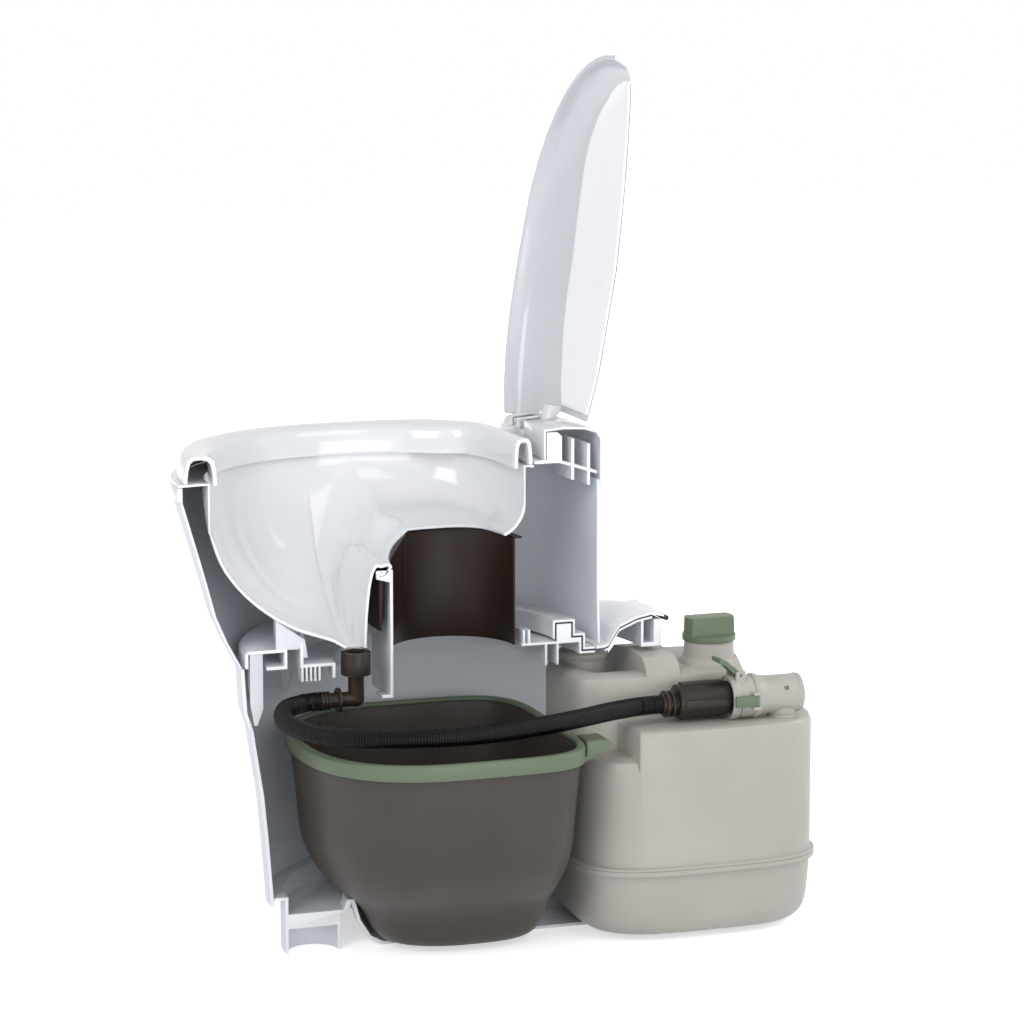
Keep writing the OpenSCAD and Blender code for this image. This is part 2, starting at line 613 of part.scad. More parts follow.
function bowl_row(x) =
  let(w = bowl_side(x), y0 = bowl_hole(x), z0 = bowl_floor(x), p = x < -ridge_front ? 1.7 : 2.6,
      u = abs(x - bowl_widest) / (x < bowl_widest ? bowl_front + bowl_widest : bowl_back - bowl_widest),
      c = pow(min(1, u), (x < bowl_widest ? bowl_nf : bowl_nr) / 2), t = acos(x < bowl_widest ? -c : c),
      o = oval(t, bowl_widest, -housing_front - over, flange_back, housing_half - over, 2.3, 4))
  concat([for (j = [0 : bowl_cols])
      let(s = sin(quarter_turn * j / bowl_cols), y = lerp(y0, w, s), v = w > over ? y / w : s)
      [x, y, z0 + (rim_z - z0) * (w > over ? bowl_curve(v, p) : j / bowl_cols)]],
    [[o[0], o[1], rim_z]]);
bowl_grid = [for (x = bowl_stations) bowl_row(x)];
module bowl() color(white) slab(bowl_grid, grid_offset(bowl_grid, -bowl_wall));

// Separator between the two halves of the bowl, and its hanging flap
sep_x = 31;
sep_t = 3;
sep_gap = 7;
sep_top = ridge_z - sep_gap;
sep_bottom = 254;
sep_half = 64;
sep_foot = 8.5;
module separator_plate() color(white) {
  slice([[-sep_x - sep_t, sep_bottom], [-sep_x, sep_bottom], [-sep_x, sep_top], [-sep_x - sep_t, sep_top]], 0, sep_half);
  slice([[-sep_x - sep_t - sep_foot, sep_bottom], [-sep_x - sep_t + over, sep_bottom],
    [-sep_x - sep_t + over, sep_bottom + sep_t], [-sep_x - sep_t - sep_foot, sep_bottom + sep_t]], 0, sep_half / 3);
  difference() {
    for (y = [0, flap_half + fit])
      slice([[-flap_x - lug, flap_z - lug], [-sep_x - over, flap_z - 2 * lug],
        [-sep_x - over, flap_z + lug - over], [-flap_x - lug, flap_z + lug - over]], y, y + flap_from - fit);
    translate([-flap_x, flap_half + lug, flap_z]) rotate([90, 0, 0])
      cylinder(r = shaft_r + pin_fit, h = flap_half + 2 * lug);
  }
}
lug = 4.6;
flap_x = 43.5;
flap_under = 11;
flap_z = ridge_z - flap_under;
shaft_r = 2.5;
knuckle_r = 4.5;
flap_from = 3;
flap_half = 58;
flap_drop = 58;
flap_t = 3;
flap_root = 4.5;
module separator_shaft() color(steel)
  translate([-flap_x, flap_half + flap_from, flap_z]) rotate([90, 0, 0])
    cylinder(r = shaft_r, h = flap_half + flap_from);
module diverter_flap() color(brown) difference() {
  union() {
    translate([-flap_x, flap_half, flap_z]) rotate([90, 0, 0]) cylinder(r = knuckle_r, h = flap_half - flap_from);
    slice([[-flap_x - over, flap_z - flap_drop], [-flap_x - over + flap_t, flap_z - flap_drop],
      [-flap_x - over + flap_root, flap_z], [-flap_x - over, flap_z]], flap_from, flap_half);
  }
  translate([-flap_x, flap_half + over, flap_z]) rotate([90, 0, 0])
    cylinder(r = shaft_r + pin_fit, h = flap_half + 2 * over);
}

// Duct from the back half of the bowl down to the bin
duct_x = duct_r / 2;
duct_gap = 0.7;
duct_top = lip_z - bowl_wall - duct_gap;
duct_cut = 16;
duct_cut_shares = [-1, -0.625, 0.125];
duct_arc = 158;
module drop_duct() color(brown) difference() {
  translate([duct_x, 0, 0]) rotate_extrude(angle = duct_arc, $fn = 128)
    polygon([[duct_r - duct_wall, duct_bottom], [duct_r, duct_bottom], [duct_r, duct_top - duct_wall],
      [duct_r + duct_flange, duct_top - duct_wall], [duct_r + duct_flange, duct_top], [duct_r - duct_wall, duct_top]]);
  slice([[-sep_x - duct_cut, ridge_z + duct_cut * duct_cut_shares[0]],
    [-sep_x, ridge_z + duct_cut * duct_cut_shares[1]], [-sep_x / 2, ridge_z + duct_cut * duct_cut_shares[2]],
    [over, duct_top - over], [over, duct_top + over], [-sep_x - duct_cut, duct_top + over]],
    -over, duct_r + duct_wall);
}

// Urine outlet: union nut, elbow with a barb
nut_r = 15;
nut_sink = 3;
nut_lip = 6;
nut_top = outlet_z - nut_sink;
nut_h = 23;
elbow_r = 8;
elbow_bore = 5.5;
elbow_drop = 51;
elbow_z = outlet_z - elbow_drop;
stem_gap = 8;
arm_r = 7.5;
barb_w = 2;
stop_w = 3;
stop_share = 0.46;
barb_shares = [0.757, 0.851, 0.944];
elbow_end = 107;
collar_r = 12.2;
module outlet_nut() color(brown) translate([-outlet_x, 0, nut_top - nut_h]) rotate_extrude()
  polygon([[elbow_r + fit, 0], [nut_r, 0], [nut_r, nut_h], [outlet_r + over, nut_h], [outlet_r + over, nut_h - nut_lip],
    [collar_r + fit, nut_h - nut_lip], [collar_r + fit, sep_t], [elbow_r + fit, sep_t]]);
arm_len = elbow_end - outlet_x;
module elbow_ring(at, r, h)
  translate([-outlet_x - at, 0, elbow_z]) rotate([0, -90, 0]) cylinder(r = r, h = h);
module drain_elbow() color(brown) difference() {
  union() {
    translate([-outlet_x, 0, elbow_z]) cylinder(r = elbow_r, h = nut_top - elbow_z - stem_gap);
    translate([-outlet_x, 0, elbow_z]) sphere(r = elbow_r);
    translate([-outlet_x, 0, nut_top - nut_h + sep_t + fit])
      cylinder(r = collar_r, h = nut_h - nut_lip - sep_t - 2 * fit);
    elbow_ring(0, arm_r, arm_len);
    elbow_ring(arm_len * stop_share, collar_r, stop_w);
    for (q = barb_shares) elbow_ring(arm_len * q, hose_d / 2, barb_w);
  }
  translate([-outlet_x, 0, elbow_z]) cylinder(r = elbow_bore, h = nut_top - elbow_z);
  translate([-outlet_x, 0, elbow_z]) rotate([0, -90, 0]) cylinder(r = elbow_bore, h = elbow_end);
  translate([-outlet_x, 0, elbow_z]) sphere(r = elbow_bore);
}

// Seat: a band that is open underneath, with an outer and an inner leg
seat_low = rim_z + fit;
seat_leg_drop = 3;
seat_leg = rim_z - seat_leg_drop;
band_shares = [0.58, 0.1];
band_turn = [30, 20];
seat_top_shares = [[0, 0], [0, 0.24], [0.04, 0.56], [0.11, 0.86], [0.25, 0.98], [0.5, 1], [0.78, 0.95], [0.91, 0.8],
  [0.97, 0.5], [1, 0]];
function seat_point(t, s, e) =
  let(w = seat_band * (1 + band_shares[1] * sin(t)) * lerp(band_shares[0], 1, ease((t - band_turn[0]) / band_turn[1])),
      k = e ? seat_wall : 0,
      d = lerp(k, w - k, s[0]), q = oval(t, bowl_widest, -seat_front, seat_back, seat_half, 2.2, lerp(4, 3, s[0]), -d),
      low = s[0] < 0.5 ? seat_low : seat_leg)
  [q[0], q[1], lerp(low, seat_top - k, s[1])];
function seat_grid(e) = [for (t = turn_angles(0, 180, steps)) [for (s = seat_top_shares) seat_point(t, s, e)]];
module seat_ring() color(white) slab(seat_grid(false), seat_grid(true));
seat_arm_len = 20.8;
seat_arm_drop = 14;
seat_arm_shares = [[-1, -1], [-0.385, -0.571], [0, -0.571], [0.337, -0.286], [0.337, 0.286], [0, 0.571],
  [-0.385, 0.5], [-1, 0.286]];
module seat_arm() color(white) difference() {
  slice([for (q = seat_arm_shares) [hinge_x + seat_arm_len * q[0], hinge_z + seat_arm_drop * q[1]]],
    seat_arm_y, seat_arm_y + arm_w);
  translate([hinge_x, seat_arm_y + arm_w + over, hinge_z]) rotate([90, 0, 0])
    cylinder(d = hinge_pin_d + 2 * pin_fit, h = arm_w + 2 * over);
}

// Lid: a dome drawn closed about its hinge, then turned open
lid_len = lid_front + hinge_x;
lid_rear = 28;
lid_widest = 185;
lid_rear_a = 200;
lid_rear_n = 3;
lid_sink = 1;
lid_wrap = 16;
lid_wrap_shares = [0.76, 0.12];
lid_crown = 43;
lid_crown_shares = [[0, 0.9], [0.14, 1], [0.43, 1], [0.64, 0.88], [0.785, 0.76], [0.9, 0.65], [0.96, 0.55], [0.985, 0.36],
  [1, 0.04]];
lid_station_shares = [0, 0.06, 0.14, 0.24, 0.34, 0.43, 0.52, 0.6, 0.68, 0.76, 0.83, 0.885, 0.93, 0.965, 0.985, 0.995, 1];
lid_cols = 9;
lid_n = 2.9;
lid_end_share = 0.04;
function lid_width(x, e) =
  let(ahead = x < -lid_widest, a = ahead ? lid_len - lid_widest - e : lid_rear_a, n = ahead ? 2.2 : lid_rear_n,
      u = min(1, abs(x + lid_widest) / a))
  (lid_half - e) * pow(max(0, 1 - pow(u, n)), 1 / n);
function lid_row(s, e) =
  let(x = lerp(-lid_rear, -lid_len + e, s), w = lid_width(x, e),
      h = (lid_crown + lid_sink) * table(lid_crown_shares, s) - e * min(1, (1 - s) / lid_end_share))
  [for (j = [0 : lid_cols])
    let(v = sin(quarter_turn * j / lid_cols), g = pow(max(0, 1 - pow(v, lid_n)), 1 / lid_n),
      wrap = lid_wrap * ease((v - lid_wrap_shares[0]) / lid_wrap_shares[1]) * pow(1 - s, 6))
    [x + wrap, w * v, max(h, fit) * (w > over ? g : 1 - j / lid_cols) - lid_sink]];
function lid_grid(e) = [for (s = lid_station_shares) lid_row(s, e)];
module opened() translate([hinge_x, 0, hinge_z]) rotate([0, lid_angle, 0]) children();
module lid_shell() color(white) opened() slab(lid_grid(0), lid_grid(lid_wall));
liner_t = 2.5;
liner_half = 112;
liner_n = 2.4;
liner_mid_share = 0.44;
liner_ends = [0.02, 0.95];
liner_foot = 1.12;
liner_cols = 6;
liner_n_rows = 16;
liner_rows = [for (i = [0 : liner_n_rows]) lerp(liner_ends[0], liner_ends[1], i / liner_n_rows)];
function liner_point(s, j, e) =
  let(e0 = lid_wall + fit, x = lerp(-lid_rear, -lid_len + e0, s), w = lid_width(x, e0),
      u = abs(s - liner_mid_share) / (s < liner_mid_share ? liner_mid_share * liner_foot : 1 - liner_mid_share),
      y = liner_half * pow(1 - pow(u, liner_n), 1 / liner_n) * j / liner_cols,
      h = (lid_crown + lid_sink) * table(lid_crown_shares, s) - e0 * min(1, 25 * (1 - s)))
  [x, y, h * pow(max(0, 1 - pow(y / w, lid_n)), 1 / lid_n) - lid_sink - e];
function liner_grid(e) = [for (s = liner_rows) [for (j = [0 : liner_cols]) liner_point(s, j, e)]];
module lid_liner() color(white) opened() slab(liner_grid(fit), liner_grid(fit + liner_t));
lid_arm_len = 34;
lid_arm_rise = 27.9;
lid_arm_shares = [[0.059, 0.287], [-0.294, 0.609], [-0.838, 1], [-1, 1], [-1, 0.502], [-0.529, 0.448],
  [-0.294, 0.323], [-0.235, 0], [-0.118, -0.251], [0.118, -0.251], [0.235, 0]];
module lid_arm() color(white) opened() difference() {
  slice([for (q = lid_arm_shares) [lid_arm_len * q[0], lid_arm_rise * q[1]]], lid_arm_y, lid_arm_y + arm_w);
  translate([0, lid_arm_y + arm_w + over, 0]) rotate([90, 0, 0])
    cylinder(d = hinge_pin_d + 2 * pin_fit, h = arm_w + 2 * over);
}

// Loops for the closed bodies: x0 and x1 front and back, half width, exponents, corner resolution
loop_n = 44;
function loop(x0, x1, y0, y1, z, nf, nr) = [for (i = [0 : loop_n - 1])
  let(t = 4 * quarter_turn * i / loop_n, c = cos(t), s = sin(t), n = c < 0 ? nf : nr)
  [(x0 + x1) / 2 + sign(c) * (x1 - x0) / 2 * pow(abs(c), 2 / n),
    (y0 + y1) / 2 + sign(s) * (y1 - y0) / 2 * pow(abs(s), 2 / n), z]];

// Solids bin
bin_seat = channel_h * channel_shares[1][1] + fit;
rim_out = 3;
rim_depth = 3;
rim_round = 2;
rim_lip = 1;
bin_edge = bin_top - rim_depth - fit;
bin_shares = [[0, -0.3, 0.72, 0.315, 2.2, 3], [0.03, -0.37, 0.81, 0.39, 2.2, 3], [0.08, -0.45, 0.855, 0.45, 2.2, 3.4],
  [0.22, -0.52, 0.885, 0.5, 2.3, 4], [0.26, -0.62, 0.9, 0.585, 2.4, 4], [0.345, -0.76, 0.92, 0.7, 2.5, 4.4],
  [0.467, -0.88, 0.94, 0.84, 2.5, 5], [0.609, -0.945, 0.96, 0.915, 2.5, 5], [1, -1, 1, 0.985, 2.5, 5]];
function bin_loop(q, e) = loop(bin_front * q[1] + e, bin_back * q[2] - e, -bin_half * q[3] + e, bin_half * q[3] - e,
  lerp(bin_seat, bin_edge, q[0]), q[4], q[5]);
module bin_body() color(bin_grey) stack(concat([for (q = bin_shares) bin_loop(q, 0)],
  [for (i = [len(bin_shares) - 1 : -1 : 1]) bin_loop(bin_shares[i], bin_wall)],
  [[for (v = bin_loop(bin_shares[0], bin_wall)) v + [0, 0, bin_wall]]]));
rim_h = 16;
module bin_rim() color(sage) {
  q = bin_shares[len(bin_shares) - 1];
  low = bin_top - rim_h;
  shelf = bin_top - rim_depth;
  lips = [[low + fit, -fit], [low + fit, -rim_out], [bin_top - rim_round, -rim_out], [bin_top, rim_round - rim_out],
    [bin_top, bin_wall + rim_lip], [shelf, bin_wall + rim_round], [shelf - rim_round, bin_wall + rim_lip],
    [shelf, bin_wall], [shelf, -fit]];
  rows = [for (c = lips) [for (v = bin_loop(q, c[1])) [v[0], v[1], c[0]]]];
  tube(rows);
}
// Closed ring through a set of loops, the last joined to the first
module tube(rows) {
  m = len(rows);
  cols = len(rows[0]);
  polyhedron([for (r = rows) each r], [for (i = [0 : m - 1]) for (j = [0 : cols - 1])
    each let(k = (j + 1) % cols, a = i * cols + j, b = i * cols + k, n = (i + 1) % m, c = n * cols + k, d = n * cols + j)
      [[a, d, c], [a, c, b]]], convexity = 8);
}
grip_x = 168;
grip_y = -92;
grip_w = 30;
grip_drop = 6;
grip_lap = 0.1;
grip_edge = [2, 7, 3, 6];
module bin_grip() color(sage) {
  low = bin_top - rim_h;
  edge = bin_back + rim_out - grip_lap;
  translate([0, grip_y, 0])
    slice([[bin_back + fit, low - grip_drop], [bin_back + grip_drop, low - grip_drop + grip_edge[0]],
      [grip_x, bin_top - grip_edge[1]], [grip_x, bin_top - grip_edge[2]], [grip_x - grip_edge[3], bin_top],
      [edge, bin_top], [edge, low], [bin_back + fit, low]], 0, grip_w);
}

// Urine canister: tub below the seam, body above it, both hollow
can_seat = pan_wall + fit;
can_nf = 3.4;
can_nr = 3.8;
can_wall = 2.5;
tub_flange = 4;
tub_round = 22;
tub_shares = [[0, 1], [0.08, 0.545], [0.2, 0.227], [0.4, 0.091], [0.93, 0]];
tub_inner_shares = [[1, 0], [0.4, 0.091], [0.2, 0.227], [0.13, 0.636]];
function can_loop(e, z, y0 = -can_half) = loop(can_front + e, can_back - e, y0 + e, can_half - e, z, can_nf, can_nr);
module canister_tub() color(beige) {
  top = seam_z + can_wall;
  stack(concat([for (q = tub_shares) can_loop(tub_round * q[1], lerp(can_seat, top, q[0]))],
    [can_loop(-tub_flange, lerp(can_seat, top, tub_shares[4][0])), can_loop(-tub_flange, top), can_loop(can_wall, top)],
    [for (q = tub_inner_shares) can_loop(can_wall + tub_round * q[1], lerp(can_seat, seam_z, q[0]))]));
}
body_low = seam_z + can_wall + fit;
upper_behind = 43;
upper_front = can_front + upper_behind;
edge_shares = [[0.28, 0.3]];
upper_round = 7;
rear_inset = 3;
rear_end = 342;
rear_round = 10;
block_y = -38;
block_root = 30;
block_shares = [[0, 0], [0.6, 0], [0.88, 0.25], [1, 1]];
block_rise_share = 2.5;
block_n = can_nf + 1.5;
valley_from = 20;
valley_to = 82;
valley_side = 28;
valley_rise = 16;
valley_round = 1;
shoulder = 14;
shoulder_shares = [[1, 0], [0.286, 0.286], [0, 0.857]];
function block(x0, x1, y0, y1, z0, z1, e, round) = [for (q = block_shares) let(d = e + round * q[1])
  loop(x0 + d, x1 - d, y0 + d, y1 - d, q[0] > 0 ? z1 - e - round * (1 - q[0]) * block_rise_share : z0, block_n, block_n)];
module can_solid(e) {
  stack(concat([can_loop(e > 0 ? e : -tub_flange, e > 0 ? body_low - over : body_low),
    can_loop(e > 0 ? e : -tub_flange, body_low + can_wall), can_loop(e, body_low + can_wall + over)],
    [for (q = shoulder_shares) can_loop(e + shoulder * q[1], can_low - shoulder * q[0] - e)]));
  intersection() {
    stack(block(upper_front, can_back + block_root, -can_half - block_root, can_half + block_root,
      can_low - block_root, can_mid + over, e, upper_round));
    stack([can_loop(e, can_low - block_root), can_loop(e, can_mid - upper_round - e),
      can_loop(e + upper_round * edge_shares[0][0], can_mid - upper_round * edge_shares[0][1] - e),
      can_loop(e + upper_round, can_mid - e)]);
  }
  difference() {
    stack(block(can_front + rear_inset, rear_end, block_y, can_half - rear_inset,
      can_low - block_root, can_high, e, rear_round));
    stack(block(can_front + valley_from - 2 * e, can_front + valley_to + 2 * e, block_y + valley_side - 2 * e,
      can_half + block_root, can_mid + valley_rise - e, can_high + block_root, 0, valley_round));
  }
}
bridge_x = 226;
bridge_w = 36;
bridge_rise = 17;
bridge_inset = 6;
bridge_shares = [[0, -0.016], [0.008, 0.597], [0.047, 0.823], [0.14, 0.968], [0.45, 1], [0.76, 0.919], [1, 0.565],
  [1, 0]];
inlet_behind = 40;
inlet_x = can_front + inlet_behind;
module canister_body() color(beige) {
  difference() {
    union() {
      can_solid(0);
      translate([bridge_x, 0, 0]) rotate([90, 0, 90]) linear_extrude(bridge_w) polygon([for (q = bridge_shares)
        [lerp(block_y, can_half - bridge_inset, q[0]), lerp(can_mid, can_high + bridge_rise, q[1])]]);
      translate([neck_x, neck_y, can_high - neck_cone[0]])
        cylinder(r1 = neck_r + neck_cone[0], r2 = neck_r + neck_cone[1], h = neck_cone[2]);
      translate([neck_x, neck_y, can_high]) cylinder(r = neck_r, h = neck_top - can_high);
      translate([inlet_x, inlet_y, can_mid - over]) cylinder(r = inlet_r, h = can_high - can_mid + inlet_rise + over);
      translate([tube_x, spout_y, can_mid - stub_cone[0]])
        cylinder(r1 = stub_r + stub_cone[1], r2 = stub_r, h = stub_cone[2]);
    }
    can_solid(can_wall);
    translate([neck_x, neck_y, can_high - neck_bore]) cylinder(r = neck_bore, h = neck_top);
    translate([tube_x, spout_y, can_mid - stub_r]) cylinder(r = stub_r - can_wall, h = 2 * stub_r);
  }
}
neck_x = 310;
neck_y = 7;
neck_r = 25.5;
neck_bore = 20;
neck_rise = 25;
neck_top = can_high + neck_rise;
neck_cone = [12, 3, 18];
inlet_y = 55;
inlet_r = 24;
inlet_rise = 3;
inlet_edge = 2;
inlet_rows = [6, 9];
stub_r = 15;
stub_cone = [6, 4, 8];
tube_x = 362;
spout_y = -62;
spout_rise = 22;
spout_z = can_mid + spout_rise;
module canister_inlet() color(beige) translate([inlet_x, inlet_y, can_high + inlet_rise + fit]) rotate_extrude()
  polygon([[0, 0], [inlet_r + inlet_edge, 0], [inlet_r + inlet_edge, inlet_rows[0]],
    [inlet_r - inlet_edge, inlet_rows[1]], [0, inlet_rows[1]]]);
cap_h = 24;
cap_skirt_h = 6;
cap_skirt_r = neck_r + 2;
cap_lap = 2;
cap_low = neck_top - cap_lap;
cap_taper = 1;
cap_plug = 12;
cap_grip = [-12.5, 12];
cap_gasket_t = 2.6;
cap_seat = 4.5;
module cap_cut(y, w) translate([neck_x - cap_skirt_r - over, neck_y + y, cap_low + cap_skirt_h])
  cube([2 * (cap_skirt_r + over), w, cap_h]);
module filler_cap() color(sage) difference() {
  union() {
    translate([neck_x, neck_y, cap_low]) cylinder(r = cap_skirt_r, h = cap_skirt_h);
    translate([neck_x, neck_y, cap_low]) cylinder(r1 = neck_r + cap_taper, r2 = neck_r, h = cap_h);
    translate([neck_x, neck_y, neck_top - cap_plug]) cylinder(r = neck_bore - fit, h = cap_plug + cap_lap);
  }
  cap_cut(cap_grip[0] - neck_bore, neck_bore);
  cap_cut(cap_grip[1], neck_bore);
  translate([neck_x, neck_y, cap_low - over]) difference() {
    cylinder(r = neck_r + fit, h = cap_lap + cap_seat);
    translate([0, 0, -over]) cylinder(r = neck_bore - fit, h = cap_lap + cap_seat + 2 * over);
  }
}
module cap_gasket() color(black) translate([neck_x, neck_y, neck_top + fit]) difference() {
  cylinder(r = neck_r, h = cap_gasket_t);
  translate([0, 0, -over]) cylinder(r = neck_bore + fit, h = cap_gasket_t + 2 * over);
}

// Pour tube, clamp head and its two levers
head_x = 303;
head_r = 21.5;
head_len = 27;
tube_end = 380;
stub_foot = 2;
stub_lap = 6;
slot_size = [5, 12, 4];
slot_inset = 22;
slot_rise = 7;
module pour_tube() color(beige) difference() {
  union() {
    translate([head_x + head_len + fit, spout_y, spout_z]) rotate([0, 90, 0])
      cylinder(r = spout_r, h = tube_end - head_x - head_len - fit);
    translate([tube_x, spout_y, can_mid + stub_foot + fit]) cylinder(r = stub_r, h = spout_rise - stub_foot - stub_lap);
  }
  translate([head_x, spout_y, spout_z]) rotate([0, 90, 0]) cylinder(d = spout_bore_d, h = tube_end - head_x + over);
  translate([tube_x, spout_y, can_mid]) cylinder(r = stub_r - can_wall, h = spout_rise);
  translate([tube_end - slot_inset, spout_y - spout_r - over, spout_z + slot_rise]) cube(slot_size);
}
ear_t = 3;
ear_half = 5;
ear_back_x = 9;
ear_rise = 3;
ear_tip = 4;
ear_x = head_x + ear_back_x;
ear_z = spout_z + head_r + ear_rise;
ear_gap = 22;
lever_pin_r = 1.6;
side_out = 3.4;
side_inset = 5;
side_gap = 15;
side_half = 4;
side_lap = 3;
side_depth = 16;
side_pin_h = 24;
side_y = spout_y - head_r - side_out;
side_x = head_x + head_len - side_inset;
notch_size = [10, 20, 14];
notch_drop = 18;
module clamp_head() color(beige) difference() {
  union() {
    translate([head_x, spout_y, spout_z]) rotate([0, 90, 0]) cylinder(r = head_r, h = head_len);
    for (y = [-0.5, 0.5] * (ear_gap + ear_t)) translate([ear_x - ear_half, spout_y + y - ear_t / 2, spout_z])
      cube([2 * ear_half, ear_t, ear_z - spout_z + ear_tip]);
    for (z = [-0.5, 0.5] * side_gap) translate([side_x - side_half, side_y - side_lap, spout_z + z - ear_t / 2])
      cube([2 * side_half, side_depth, ear_t]);
  }
  translate([head_x - over, spout_y, spout_z]) rotate([0, 90, 0])
    cylinder(d = spout_bore_d, h = head_len + 2 * over);
  translate([ear_x, spout_y + ear_gap, ear_z]) rotate([90, 0, 0])
    cylinder(r = lever_pin_r + pin_fit, h = 2 * ear_gap);
  translate([side_x, side_y, spout_z - side_pin_h / 2]) cylinder(r = lever_pin_r + pin_fit, h = side_pin_h);
  translate([head_x - over, spout_y - head_r, spout_z - notch_drop]) cube(notch_size);
}
barrel_r = 3;
lever_len = 22;
lever_rise = 17;
lever_shares = [[0.09, 0], [-0.045, 0.176], [-0.636, 0.882], [-1, 1], [-1, 0.765], [-0.682, 0.588],
  [-0.364, 0.176], [-0.09, -0.118]];
module upper_lever() color(sage) {
  translate([ear_x, spout_y + ear_gap / 2 + ear_t, ear_z]) rotate([90, 0, 0])
    cylinder(r = lever_pin_r, h = ear_gap + 2 * ear_t);
  translate([ear_x, spout_y + ear_gap / 2 - fit, ear_z]) rotate([90, 0, 0])
    cylinder(r = barrel_r, h = ear_gap - 2 * fit);
  translate([0, spout_y - ear_gap / 2 + fit, 0])
    slice([for (q = lever_shares) [ear_x + lever_len * q[0], ear_z + lever_rise * q[1]]], 0, ear_gap - 2 * fit);
}
latch_r = 2.8;
latch_t = 2.5;
latch_back = 2;
latch_h = side_gap - ear_t - 2 * fit;
module lower_latch() color(sage) {
  translate([side_x, side_y, spout_z - (side_gap + ear_t) / 2]) cylinder(r = lever_pin_r, h = side_gap + ear_t);
  translate([side_x, side_y, spout_z - latch_h / 2]) cylinder(r = latch_r, h = latch_h);
  translate([head_x - over, side_y - latch_back, spout_z - latch_h / 2]) cube([side_x - head_x + over, latch_t, latch_h]);
}

// Hose sleeve that docks into the clamp head
sleeve_x = 247;
sleeve_r = 19;
sleeve_fin = 2;
sleeve_gap = 2;
sleeve_end = head_x - sleeve_gap;
fin_inset = 4;
fin_w = 7;
collar_x = 231;
collar_wall = 1;
collar_ring = 4;
collar_ring_t = 3;
collar_rings = [3, 9];
nose_r = 14;
nose_len = 14;
hose_drop = 2;
hose_z = spout_z - hose_drop;
hose_end = [collar_x, spout_y, hose_z];
module hose_sleeve() color(brown) difference() {
  union() {
    translate([sleeve_x, spout_y, spout_z]) rotate([0, 90, 0])
      cylinder(r = sleeve_r - sleeve_fin, h = sleeve_end - sleeve_x);
    for (a = [0 : 3]) translate([sleeve_x + fin_inset, spout_y, spout_z]) rotate([a * quarter_turn, 0, 0])
      translate([0, -fin_w / 2, 0]) cube([sleeve_end - sleeve_x - 2 * fin_inset, fin_w, sleeve_r]);
    translate(hose_end) rotate([0, 90, 0]) cylinder(r = hose_d / 2 + collar_wall, h = sleeve_x - collar_x + over);
    for (x = collar_rings) translate([collar_x + x, spout_y, hose_z]) rotate([0, 90, 0])
      cylinder(r = hose_d / 2 + collar_ring, h = collar_ring_t);
    translate([sleeve_end - over, spout_y, spout_z]) rotate([0, 90, 0]) cylinder(r = nose_r, h = nose_len);
  }
  translate([collar_x - over, spout_y, hose_z]) rotate([0, 90, 0])
    cylinder(d = hose_bore, h = sleeve_end + nose_len - collar_x + 2 * over);
}

// Ribbed hose swept along its route, with its bore
hose_run = 10;
hose_route = [[-elbow_end, 0, elbow_z], [-elbow_end - hose_run, 0, elbow_z],
  [-elbow_end - 2 * hose_run, -1, elbow_z - 1], [-146, -12, 253], [-154, -35, 248], [-148, -60, 245],
  [-130, -82, 242], [-102, -98, 240], [-62, -109, 239], [-15, -115, 238], [35, -114, 238], [85, -105, 239],
  [130, -91, 240], [172, -75, 241], [201, -65, 241], [collar_x - 2 * hose_run, spout_y - 1, hose_z],
  [collar_x - hose_run, spout_y, hose_z], hose_end];
rib_pitch = 3.4;
rib_shares = [0.2, 0.7];
hose_groove = 0.9;
hose_sides = 8;
hose_n = len(hose_route);
function route(i) = i < 0 ? 2 * hose_route[0] - hose_route[1] :
  i >= hose_n ? 2 * hose_route[hose_n - 1] - hose_route[hose_n - 2] : hose_route[i];
function bend(i, t) = let(a = route(i - 1), b = route(i), c = route(i + 1), d = route(i + 2))
  0.5 * (2 * b + (c - a) * t + (2 * a - 5 * b + 4 * c - d) * t * t + (3 * b - a - 3 * c + d) * t * t * t);
function bend_way(i, t) = let(a = route(i - 1), b = route(i), c = route(i + 1), d = route(i + 2),
  v = 0.5 * ((c - a) + 2 * (2 * a - 5 * b + 4 * c - d) * t + 3 * (3 * b - a - 3 * c + d) * t * t)) v / norm(v);
rib_ends = [for (i = [0 : hose_n - 2]) let(n = round(norm(route(i + 1) - route(i)) / rib_pitch))
  each [for (k = [0 : n - 1]) each [[i, (k + rib_shares[0]) / n, 1], [i, (k + rib_shares[1]) / n, 0]]]];
rings = concat([[0, 0, 1]], rib_ends, [[hose_n - 2, 1, 1]]);
function hose_ring(q, r) =
  let(c = bend(q[0], q[1]), w = bend_way(q[0], q[1]), n = cross([0, 0, 1], w), u = n / norm(n), v = cross(w, u))
  [for (k = [0 : hose_sides - 1]) let(t = 4 * quarter_turn * k / hose_sides) c + r * (cos(t) * u + sin(t) * v)];
module drain_hose() color(black) {
  outer = [for (q = rings) hose_ring(q, hose_d / 2 - hose_groove * (1 - q[2]))];
  inner = [for (i = [0 : hose_n - 2]) each [hose_ring([i, 0], hose_bore / 2), hose_ring([i, 0.5], hose_bore / 2)]];
  last = [hose_ring([hose_n - 2, 1], hose_bore / 2)];
  tube(concat([for (i = [len(outer) - 1 : -1 : 0]) outer[i]], inner, last));
}

